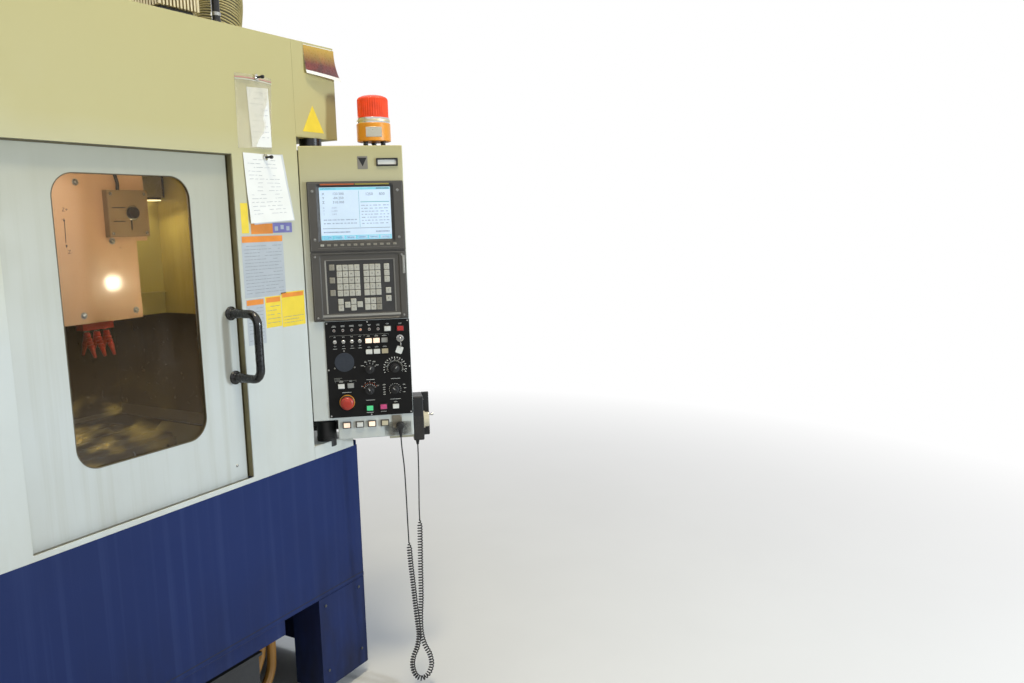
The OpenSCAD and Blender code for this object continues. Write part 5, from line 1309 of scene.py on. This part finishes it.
def keyboard():
    p = panel_piece("keyboard_frame")

    def hole(grow):
        return inset(174.5, 1406, 210 + grow, 168 + grow, 2 + grow / 6)

    p.ring(unit_outline(1298, 0), hole(8), -9, 0, UNIT_GREY, 1.2)
    p.ring(unit_outline(1298, 4), hole(40), -12, -8.8, UNIT_GREY, 1.3)
    steps = ((-12.0, 40), (-9.4, 34), (-9.4, 4), (-8.0, 0), (-7.4, 0), (-7.4, 40))
    p.loft([at_depth(y, hole(grow)(0)) for y, grow in steps], UNIT_GREY, cyclic=True)
    p.slab(inset(174.5, 1406, 212, 170, 2), -8.0, -1, FIELD, 0.3)
    p.box(50, 299, -10.4, -9.3, 1311.5, 1318.5, UNIT_LEDGE, 0.5)
    p.box(64.5, 69, -9.6, -9.2, 1322, 1490, UNIT_LEDGE, 0.3)
    p.boxes(UNIT_RIM, 0.3, (280.5, 284.5, -9.6, -9.2, 1322, 1490),
            (64.5, 284.5, -9.6, -9.2, 1490.5, 1493.5))
    p.boxes(UNIT_RIM, 0.1, (26.6, 27.4, -12.35, -11.9, 1304, 1512),
            (26.6, 317.4, -12.35, -11.9, 1513.2, 1513.9))
    for x, zz in ((36, 1504), (308, 1504), (36, 1310), (308, 1310)):
        p.screw(x, -12, zz, 3.4, slot=x + zz)
    p.box(309, 317, -14, -11.8, 1444, 1502, UNIT_LEDGE, 1)
    p.box(311, 315, -15, -13.6, 1452, 1494, SCREW, 0.6)
    p.done(["keyboard_unit"], "gray")
    k = panel_piece("key_tops")
    signs = iter("OXYZ789GUVW456MIJK123FHRS0.-NDLE" + "ABCTPQ" * 8)

    def cap(x, z, material=KEY, mark=None, two=False):
        x, z = 69.5 + x, 1322 + z
        steps = ((0, -8.0), (0.2, -9.2), (1.0, -10.3), (1.8, -10.6))
        k.cap(x + 8.5, z + 9.4, 17, 18.8, steps, material, 1.4, 3)
        dx, dz, size = (6.2, 11.6, 6.2) if two else (8.5, 9.8, 7.4)
        k.text(mark or next(signs), KEY_MARK, x + dx, z + dz, -10.68, size)
        if two:
            k.boxes(KEY_MARK, 0, (x + 10.4, x + 12.8, -10.7, -10.55, z + 4.8, z + 5.4),
                    (x + 4.2, x + 8.0, -10.7, -10.55, z + 4.8, z + 5.4))

    for z in (57, 97, 138):
        cap(8, z, KEY_DARK, "/")
    for j in range(5):
        for i in range(4):
            cap(31 + 18.4 * i, 55 + 20.3 * j, two=(i + j) % 3 == 0)
    for j in range(5):
        for i in range(3):
            cap(115 + 18.4 * i, 55 + 20.3 * j, mark=(".0-", "123", "456", "789", "+/=")[j][i])
    for j in range(3):
        cap(180, 96 + 20.3 * j, two=True)
    for z in (34, 60):
        cap(183, z)
    for j in range(2):
        cap(31, 8 + 20.3 * j)
    for (x, z), way in zip(((52, 18), (71, 28), (71, 8), (91, 18)), "<^v>"):
        cap(x, z, mark=way)
    for j in range(2):
        for i in range(3):
            cap(115 + 18.4 * i, 8 + 20.3 * j, KEY_DARK if i == 2 else KEY)
    k.done(["key_caps"], "keys")


def arc_marks(p, at, radius, start, stop, count, length, material, width):
    for i in range(count):
        place = spin(on_face(at, -3.15), -(start + (stop - start) * i / (count - 1)), "Y")
        p.box(radius, radius + length, 0, 0.16, -width / 2, width / 2, material, 0, move=place)


def arc_numbers(p, at, radius, start, stop, words, size):
    cx, cz = on_plate(at)
    for i, word in enumerate(words):
        x, z = polar(radius, start + (stop - start) * i / (len(words) - 1))
        p.text(word, LEGEND, cx + x, cz + z, -3.2, size)


# Places on the control plate, from its lower left corner
MODE, SPINDLE_RATE, FEED_RATE, RAPID_RATE = KNOBS = ((136, 155), (133, 85), (217, 154), (214, 84))
STOP, LOCK, DISC_AT = (58, 50), (237, 252), (56, 182)
LEDS = (28, 56, 84, 112, 140, 168)
TOGGLES = (29, 56, 83, 108)
WHITE_BUTTONS = ((136, 249), (161, 249), (187, 249), (136, 213), (161, 213), (187, 213), (42, 104),
                 (72, 105), (214, 28))
PUSH_CAPS = (("power_on", (198, 286), CAP_WHITE), ("power_off", (239, 285), CAP_RED),
             ("cycle_start", (130, 27), LIT_GREEN), ("feed_hold", (174, 29), LIT_PINK))


def control_plate():
    p = panel_piece("control_face")
    p.slab(inset(188.5, 1138.5, 269, 315, 2.5), PLATE_FACE, 0, PLATE, 0.8)
    for _, at, _ in PUSH_CAPS:
        x, z = on_plate(at)
        p.ring(inset(x, z, 24.6, 19.6, 2), inset(x, z, 20.8, 15.8, 1), -9, -3, BLACK, 0.8)
    for at in KNOBS:
        p.lathe([(15, 0), (15, 0.7), (14.2, 1)], BLACK, on_face(at), OUT, 36)
    p.lathe([(24.6, 0), (24.6, 0.8), (24, 1.2)], STOP_RING, on_face(STOP), OUT, 48)
    p.lathe([(21, 0), (22.4, 1.2), (22.4, 6.5), (20.4, 8), (10.2, 8)], BLACK_METAL, on_face(STOP), OUT, 40)
    p.lathe([(11.5, 0), (11.5, 1.6), (10, 2.2), (9, 5), (7.6, 5.2)], CHROME, on_face(LOCK), OUT, 32)
    p.lathe([(31, 0), (31, 0.9), (30, 1.5)], DISC, on_face(DISC_AT), OUT, 56)
    for a in (90, 210, 330):
        dx, dz = polar(36.5, a)
        p.screw(*on_face((DISC_AT[0] + dx, DISC_AT[1] + dz)), 2.6, slot=a)
    for n, x0 in enumerate(LEDS):
        x, z = on_plate((x0, 286))
        p.ring(disc(x, z, 4.6, 24), disc(x, z, 3.0, 24), -5, -3, CHROME, 0.5)
        lens = LED_ON if n == 3 else LED_OFF
        p.lathe([(3, 0), (3, 2.4), (2.2, 3.4), (0.6, 3.8)], lens, (x, PLATE_FACE, z), OUT, 20)
    for x, z in ((60, 1290), (317, 1290), (60, 987), (317, 987), (188, 1291), (188, 986), (59, 1139),
                 (318, 1139)):
        p.screw(x, PLATE_FACE, z, 2.8, CHROME, slot=x + z)
    p.done(["control_panel"], "black")


def bar(p, at, w, tall, material=LEGEND, rise=0.0):
    """A short printed bar, w wide, whose foot is on the given place or above it by the rise."""
    x, z = on_plate(at)
    p.box(x - w / 2, x + w / 2, PRINT_TOP, PRINT_FOOT, z + rise, z + rise + tall, material, 0)


def legends():
    p = panel_piece("panel_legends")
    for x0 in LEDS:
        for r in range(2):
            bar(p, (x0, 298), dice.uniform(7, 15), 1, rise=3.1 * r - 0.5)
    p.text("ON", LEGEND, *on_plate((198, 301)), -3.2, 6)
    p.text("OFF", LEGEND, *on_plate((239, 300)), -3.2, 6)
    for x0 in TOGGLES:
        p.text("ON", LEGEND, *on_plate((x0, 264)), -3.2, 4.6)
        p.text("OFF", LEGEND, *on_plate((x0, 234)), -3.2, 4.6)
        bar(p, (x0, 226), dice.uniform(9, 16), 1)
    for x0, z0 in WHITE_BUTTONS:
        bar(p, (x0, z0 + 13.5), dice.uniform(8, 17), 1)
        bar(p, (x0, z0 + 13.5), dice.uniform(5, 12), 0.9, DIM_LEGEND, 2.6)
    for left, right, top in ((124, 200, 269), (14, 122, 269), (24, 90, 121), (112, 160, 269)):
        (x0, z), (x1, z) = on_plate((left, top)), on_plate((right, top))
        p.boxes(DIM_LEGEND, 0, (x0, x1, -3.15, PRINT_FOOT, z, z + 0.6),
                (x0, x0 + 0.6, -3.15, PRINT_FOOT, z - 5, z), (x1 - 0.6, x1, -3.15, PRINT_FOOT, z - 5, z))
    arc_marks(p, MODE, 17.5, 150, 30, 5, 3.4, LEGEND, 1.1)
    for i, (dx, dz) in enumerate(((-24, 12), (-14, 23), (0, 27), (14, 23), (24, 12))):
        at = (MODE[0] + dx, MODE[1] + dz)
        w = dice.uniform(7, 11)
        bar(p, at, w, 1.3)
        if i % 2:
            bar(p, at, w / 1.5, 1, DIM_LEGEND, 3)
    arc_marks(p, FEED_RATE, 33.5, 200, -20, 17, 4.6, LEGEND, 2.1)
    arc_marks(p, FEED_RATE, 23, 205, -25, 25, 3.6, LEGEND, 0.8)
    arc_numbers(p, FEED_RATE, 29.6, 192, -12, [str(20 * n) for n in range(9)], 4.2)
    arc_marks(p, SPINDLE_RATE, 18, 150, 30, 8, 3.4, LEGEND, 1.1)
    arc_marks(p, SPINDLE_RATE, 24, 146, 34, 7, 1.6, ORANGE_LEGEND, 2.4)
    arc_numbers(p, SPINDLE_RATE, 29, 150, 30, ["50", "70", "90", "110", "120"], 4.4)
    arc_marks(p, RAPID_RATE, 18, 215, -35, 13, 1.9, LEGEND, 1.9)
    for r in range(5):
        bar(p, (179, 68 + 8 * r), dice.uniform(6, 10), 1.2)
        if r % 2 == 0:
            bar(p, (179, 68 + 8 * r), 6, 0.9, DIM_LEGEND, 2.6)
    for dx, dz in ((29.5, 14), (32.5, 2), (29.5, -11)):
        bar(p, (RAPID_RATE[0] + dx, RAPID_RATE[1] + dz), 7, 1.3)
    for at, w in (((136, 120), 26), ((217, 119), 30), ((133, 52), 28), ((214, 51), 34), ((58, 82), 30),
                  ((130, 11), 22), ((174, 12), 18)):
        bar(p, at, w, 1.1)
    for k, w in enumerate((26, 19, 23)):
        bar(p, (20 + w / 2, 130 - 4 * k), w, 0.8, DIM_LEGEND)
    p.done(slot="white")


def push_caps():
    for name, at, material in PUSH_CAPS:
        p = panel_piece("cap_" + name, name + "_button")
        steps = ((0, -5.8), (0, -10.6), (0.5, -11.6), (1.6, -12.0), (3.2, -11.7))
        p.cap(*on_plate(at), 20.4, 15.4, steps, material, 1.4)
        p.done([name + "_button"])


def buttons():
    p = panel_piece("white_buttons")
    crown = ((0, -7.8), (0.5, -8.7), (1.5, -9.0), (2.6, -8.8))
    kinds = [LIT_WARM, LIT_WARM, CAP_GREY, CAP_WHITE, CAP_WHITE, CAP_BEIGE, CAP_WHITE, CAP_GREY, CAP_WHITE]
    for at, material in zip(WHITE_BUTTONS, kinds):
        x, z = on_plate(at)
        p.ring(inset(x, z, 22.2, 17.2, 1.5), inset(x, z, 20.4, 15.4, 1), -6.6, -3, BLACK, 0.3)
        p.cap(x, z, 20.2, 15.2, ((0, -3.2), *crown), material)
    for x, material in ((107, LIT_WARM), (149, CAP_WHITE), (188, LIT_WARM), (230, CAP_BEIGE)):
        p.ring(inset(x, 955, 28, 22, 2), inset(x, 955, 20.4, 15.4, 1), -5.6, 0, BUTTON_RIM, 0.8)
        p.ring(inset(x, 955, 23, 18, 2), inset(x, 955, 20.4, 15.4, 1), -6.6, -5, BLACK, 0.5)
        p.cap(x, 955, 20, 15, ((0, -0.5), *crown), material)
    p.done(["panel_buttons"], "white")


def toggles():
    p = panel_piece("toggle_levers")
    out, up = polar(1, 16)
    for x0 in TOGGLES:
        seat = on_face((x0, 249))
        p.hexagon(*seat, 6.5, 2.2, CHROME)
        p.lathe([(4.6, 2), (4.6, 3.6), (3.6, 4.6), (2.6, 4.8)], CHROME, seat, OUT, 24)
        p.lathe([(1.9, 3), (2.0, 8), (3.0, 18), (2.9, 19.3), (1.8, 20.2), (0.5, 20.5)], CHROME, seat,
                (0, -out, up), 20)
    p.done(["toggle_switches"], "steel")


def stop_button():
    p = panel_piece("stop_head", "e_stop_button")
    p.lathe([(9.7, 6.5), (9.7, 13.2), (18, 13.3), (20.6, 15.4), (21.4, 17.4), (21.4, 21.2), (20, 24.2),
             (17, 27), (12, 28.8), (6, 29.3), (0.5, 29.3)], RED_HEAD, on_face(STOP), OUT, 56)
    for base in (90, 210, 330):
        place = spin(on_face(STOP), base, "Y")
        for i in range(7):
            x, z = polar(14.6, 8 * i - 28)
            p.box(x - 1.0, x + 1.0, -28.75, -28.1, z - 1.2, z + 1.2, STOP_MARK, 0.1, move=place)
    p.done(["e_stop_button"], "crimson")


def knobs():
    for name, at, turn in (("mode", MODE, -20), ("spindle", SPINDLE_RATE, 25), ("feed", FEED_RATE, -35),
                           ("rapid", RAPID_RATE, 40)):
        p = panel_piece("grip_" + name, name + "_knob")
        p.lathe([(11.4, 1.3), (11.4, 3.2), (10.6, 4), (10.2, 8.4), (9, 9.3), (0.5, 9.3)], BLACK,
                on_face(at), OUT, 48, ribs=16, depth=0.35)
        place = spin(on_face(at), -turn, "Y")
        p.box(-3, 3, -17.2, -8.6, -11, 11, BLACK, 1.4, 3, move=place)
        p.box(-0.7, 0.7, -17.5, -17.0, 1.5, 10, LEGEND, 0.1, move=place)
        p.done([name + "_knob"], "black")


def key_and_plug():
    p = panel_piece("lock_key", "panel_key")
    x, z = on_plate(LOCK)
    p.box(x - 1.2, x + 1.2, -22, -8.3, z - 4, z + 4, CHROME, 0.4)
    p.slab(inset(0, 0, 19, 20, 8), -1.2, 1.2, CHROME, 0.5, move=spin((x, -30, z), 90, "Z"))
    loop = circle(-36, z - 14, 8.6, 28)
    p.tube([(x, y, height) for y, height in loop + loop[:1]], 0.9, CHROME, 8)
    lean = spin((x, -36, z - 22), 22, "Y")
    p.slab(inset(0, -12.5, 21, 23, 3), -0.5, 0.5, CAP_WHITE, 0.3, move=lean)
    p.ring(disc(0, -3.4, 2.6, 20), disc(0, -3.4, 1.6, 20), -0.8, 0.8, CHROME, 0.1, move=lean)
    p.done(["panel_key"], "steel")
    q = panel_piece("cord_connector")
    q.slab(inset(272, 932, 88, 46, 3), -0.5, 0, SMUDGE, 0.1)
    q.slab(inset(270, 957, 31, 42, 3), -4, 0, PLATE_GRIMY, 0.8)
    for dx, dz in ((-12, -17), (12, 17)):
        q.screw(270 + dx, -4, 957 + dz, 2.2, slot=dx * dz)
    q.lathe([(12.6, 4), (13.2, 5), (13.2, 9), (12, 10), (11, 11), (11, 24), (10, 27), (7, 28), (0.5, 28)],
            BLACK, (279.5, 0, 944), OUT, 40, ribs=20, depth=0.25)
    q.lathe([(11.2, 12), (12.1, 12.6), (12.1, 18), (11.2, 18.6)], RUBBER, (279.5, 0, 944), OUT, 40, ribs=24,
            depth=0.4)
    q.lathe([(4, 0), (4.4, 2), (4.2, 3), (4.9, 6), (4.6, 7), (5.4, 10), (5.1, 11), (5.9, 14), (5.6, 15),
             (6.4, 18), (6.4, 22), (7.2, 24), (7.6, 30)], RUBBER, (279.5, -19, 908), UP, 24)
    q.done(["cord_plug"], "black")


def handwheel():
    p = panel_piece("wheel_unit")
    p.box(324.3, 359.3, 20, 100, 881, 1031, BLACK, 4, 3)
    p.box(358.3, 383.3, 91, 101, 881, 1031, BLACK, 2.6, 3)
    for k in range(22):
        z = 886 + 3.6 * k
        p.boxes(BLACK, 0.4, (323.9, 359.2, 19.4, 22, z, z + 1.7), (357.9, 383.7, 90.4, 92, z, z + 1.7),
                (382.6, 383.9, 90.4, 101.4, z, z + 1.7))
        p.box(358.9, 359.9, 22, 26, z, z + 1.7, BLACK, 0.3)
    for z in (893, 1018):
        for y in (33, 85):
            p.screw(359.3, y, z, 2.6, axis=ALONG, slot=z)
    p.lathe([(33, 0), (33, 0.7), (31, 0.9)], PLATE_SILVER, (359.3, 60, 943), ALONG, 56)
    p.box(244.3, 325.3, 20, 100, 895, 907, TRIM_CREAM, 1.2)
    p.lathe([(4, 0), (4.6, 2), (4.3, 3), (5.4, 7), (5.1, 8), (6.4, 12), (6.1, 13), (7.4, 17), (8, 18),
             (8, 23)], RUBBER, (338.3, 60, 858), UP, 24)
    p.done(["mpg_body"], "black")
    w = panel_piece("wheel_disc", "mpg_wheel")
    w.lathe([(26.6, 0.3), (28, 1.2), (28, 5.2), (26.6, 6.3), (24.2, 6.5), (24, 8), (24, 17), (22.6, 19.4),
             (20, 20), (8, 20), (7, 19.2), (0.5, 19.2)], WHEEL, (359.6, 60, 943), ALONG, 72, ribs=36,
            depth=0.45)
    for k in range(50):
        place = spin((359.6, 60, 943), 7.2 * k, "X")
        w.box(5.6, 6.5, -0.25, 0.25, 25.0, 27.6 if k % 5 == 0 else 26.6, KEY_MARK, 0, move=place)
    w.lathe([(5.2, 19), (5.2, 21), (3.2, 22), (3.6, 26), (5, 30), (5, 34), (3.6, 35.8), (0.5, 36)], CHROME,
            (359.6, 60, 960), ALONG, 28)
    w.done(["mpg_wheel"], "white")


def beacon():
    p = panel_piece("beacon_body")
    middle = (240, 70, 0)
    for a in (90, 210, 330):
        x, y = polar(32, a)
        p.lathe([(9, 1848), (9, 1852), (7.6, 1853), (7.6, 1861), (9, 1862), (9, 1866)], BLACK,
                (240 + x, 70 + y, 0), n=24)
    p.lathe([(50, 1864), (53, 1865), (54, 1867), (54, 1918), (53.4, 1920), (52.4, 1921)], AMBER, middle,
            n=64)
    p.lathe([(52.4, 1920), (52, 1922), (52, 1936), (51, 1938), (46, 1938)], CHROME, middle, n=64)
    p.lathe([(52.2, 1926), (52.9, 1926.5), (52.9, 1931.5), (52.2, 1932)], ALLOY, middle, n=64)
    rings = []
    for r, z0, z1 in ((54.2, 1876, 1907), (54.9, 1877, 1906)):
        ring = [(*polar(r, t), z0) for t in range(-118, -61, 3)]
        ring += [(*polar(r, t), z1) for t in range(-64, -121, -3)]
        rings.append(ring)
    p.loft(rings, PLATE_SILVER, move=Matrix.Translation(middle))
    p.done(["beacon_base"], "amber")
    q = panel_piece("beacon_dome")
    q.lathe([(48, 1937.5), (48.4, 1939), (48.4, 1994), (46.6, 1999), (42, 2003), (33, 2007), (20, 2009.4),
             (6, 2010), (0.5, 2010)], LENS, middle, n=240, ribs=40, depth=0.75)
    q.lathe([(49.6, 1938), (49.8, 1938.5), (49.8, 1942), (48.8, 1942.6)], LENS, middle, n=72)
    q.done(["beacon_lens"], "lens")


def post_details():
    p = panel_piece("pivot_collars")
    p.lathe([(27.2, 956), (28, 957), (28, 972), (27, 972.6)], BLACK_METAL, (38, 90, 0), n=40)
    p.lathe([(19.4, 869), (31, 869.4), (32, 871), (32, 954), (31, 955.6), (19.4, 956)], BLACK,
            (38, 90, 0), n=48)
    for k in range(3):
        x, y = polar(28, 120 * k + 200)
        p.hexagon(38 + x, 90 + y, 964, 4.4, 3, axis=(x, y, 0))
    p.done(slot="black")


# Rear cabinet and sides

def rear_details():
    p = Piece("cabinet_fittings", "cabinet_door")
    for z in (754, 1646):
        p.lathe([(7.9, 0), (8.3, 1), (8.3, 99), (7.9, 100)], SCREW, (478, 824.3, z - 4), UP, 20)
    p.box(-438, -408, 825.3, 846.8, 1180, 1320, BLACK, 5, 3)
    p.box(-434, -412, 846, 847.2, 1196, 1304, BLACK_METAL, 1)
    for k in range(14):
        z = 760 + 15 * k
        p.box(60, 340, 825, 827.2, z, z + 4.5, CABINET_CREAM, 1.6)
        p.box(62, 338, 825, 825.6, z - 5, z - 1, SOCKET, 0)
    p.ring(inset(-350, 1680, 84, 84, 8), stepped_circle, 824.9, 825.5, SWITCH_YELLOW, 0.2)
    p.done(slot="cream")


def stepped_circle(i):
    """The hole in the main switch's plate, its points in step with the plate's rounded outline."""
    turns = [polar(30 - i, start + 90 * k / 5 * 0.999) for start in (-90, 0, 90, 180) for k in range(6)]
    return [(x - 350, z + 1680) for x, z in turns]


def switch_handle():
    p = Piece("switch_grip", "main_switch")
    p.lathe([(28, 0), (28, 7), (26, 10), (10, 10)], SWITCH_RED, (-350, 825.6, 1680), (0, 1, 0), 44)
    p.box(-358, -342, 834.6, 854.4, 1648, 1712, SWITCH_RED, 4, 3)
    p.box(-351, -349, 854, 854.7, 1690, 1710, CAP_WHITE, 0.2)
    p.done(["main_switch"], "red")


def base_seams():
    """Pressed lips over dark slots on the base's sides."""
    p = Piece("side_fittings", "frame")
    for lip0, lip1, slot0, slot1 in ((722.6, 725.6, 723.5, 724.9), (-1153.6, -1150.6, -1152.9, -1151.5)):
        for y in (-620, 120):
            for z in (560, 580, 600, 620):
                p.box(lip0, lip1, y, y + 200, z, z + 6, BLUE, 1.2)
                p.box(slot0, slot1, y + 2, y + 198, z - 5, z - 1, SOCKET, 0)
    p.done(slot="blue")


for build in (housing, display, screen, keyboard, control_plate, legends, push_caps, buttons, toggles,
              stop_button, knobs, key_and_plug, handwheel, beacon, post_details, rear_details,
              switch_handle, base_seams):
    build()



# Floor, world and lights

def make_floor():
    g = Graph("pale_floor")
    b = g.node("ShaderNodeBsdfPrincipled")
    tone = g.span(g.noise(1.2, 4), 0.3, 0.7, 0.0, 1.0)
    g.put(b.inputs["Base Color"], g.mix(tone, rgb(226, 226, 224), rgb(232, 232, 230)))
    b.inputs["Roughness"].default_value = 0.85
    white = g.node("ShaderNodeEmission")
    away = g.vector("LENGTH", g.where)
    seen = g.node("ShaderNodeLightPath")
    far = g.span(away, 1.3, 5.5, 0.0, 1.0)
    both = g.node("ShaderNodeMixShader")
    mixed = (g.math("MULTIPLY", far, seen.outputs["Is Camera Ray"]), b.outputs[0], white.outputs[0])
    for socket, value in zip(both.inputs, mixed):
        g.put(socket, value)
    g.put(g.out.inputs["Surface"], both.outputs[0])
    mesh = bpy.data.meshes.new("floor")
    half = 30
    corners = [(x * half, y * half, 0) for x, y in ((-1, -1), (1, -1), (1, 1), (-1, 1))]
    mesh.from_pydata(corners, [], [(0, 1, 2, 3)])
    mesh.materials.append(g.material)
    put_in_scene("floor", mesh)


def make_world():
    world = bpy.data.worlds.new("studio")
    world.use_nodes = True
    t = world.node_tree
    t.nodes.clear()
    out = t.nodes.new("ShaderNodeOutputWorld")
    seen, lit = t.nodes.new("ShaderNodeBackground"), t.nodes.new("ShaderNodeBackground")
    seen.inputs[0].default_value = (1, 1, 1, 1)
    seen.inputs[1].default_value = 1.0
    lit.inputs[0].default_value = rgb(226, 236, 248)
    lit.inputs[1].default_value = 0.24
    path = t.nodes.new("ShaderNodeLightPath")
    most, more = t.nodes.new("ShaderNodeMath"), t.nodes.new("ShaderNodeMath")
    most.operation = more.operation = "MAXIMUM"
    mix = t.nodes.new("ShaderNodeMixShader")
    for source, socket in ((path.outputs["Is Camera Ray"], most.inputs[0]),
                           (path.outputs["Is Glossy Ray"], most.inputs[1]),
                           (most.outputs[0], more.inputs[0]),
                           (path.outputs["Is Transmission Ray"], more.inputs[1]),
                           (more.outputs[0], mix.inputs[0]),
                           (lit.outputs[0], mix.inputs[1]),
                           (seen.outputs[0], mix.inputs[2]),
                           (mix.outputs[0], out.inputs[0])):
        t.links.new(source, socket)
    bpy.context.scene.world = world


def light(name, kind, at, power, colour):
    data = bpy.data.lights.new(name, kind)
    data.energy, data.color = power, colour
    lamp = put_in_scene(name, data)
    lamp.visible_camera = False
    lamp.location = at
    return lamp


def area(name, at, target, size, power, colour=(1, 1, 1)):
    lamp = light(name, "AREA", at, power, colour)
    lamp.data.shape = "RECTANGLE"
    lamp.data.size, lamp.data.size_y = size
    lamp.rotation_euler = (Vector(target) - Vector(at)).to_track_quat("-Z", "Y").to_euler()


make_floor()
make_world()
area("warm_top", (-0.3, -2.2, 5.2), (-0.2, -1.0, 1.5), (1.3, 0.5), 98, (1.0, 0.88, 0.60))
area("cool_front", (1.25, -5.8, 1.55), (0.25, -1.0, 1.0), (0.4, 0.4), 136, (0.82, 0.92, 1.0))
area("fill_left", (-3.6, -4.8, 1.8), (-0.2, -0.8, 0.9), (3.0, 1.6), 8, (0.92, 0.96, 1.0))
area("overhead", (0.2, -0.6, 5.4), (0.0, -0.4, 1.0), (4.5, 4.5), 44)
area("rear", (1.0, 5.0, 3.2), (0, 0.4, 1.1), (3.4, 2.4), 80)
area("machine_lamp", (0.395, -0.37, 1.695), (0.1, -0.5, 1.0), (0.17, 0.03), 0.9, (1.0, 0.84, 0.46))
area("chamber_glow", (-0.10, -0.905, 1.75), (-0.08, -0.62, 1.60), (0.46, 0.14), 1.0, (1.0, 0.76, 0.50))
light("chamber_bulb", "POINT", (0.309, -0.900, 1.430), 1.9, (1.0, 0.86, 0.60)).data.shadow_soft_size = 0.025

bpy.context.scene.view_settings.view_transform = "Standard"
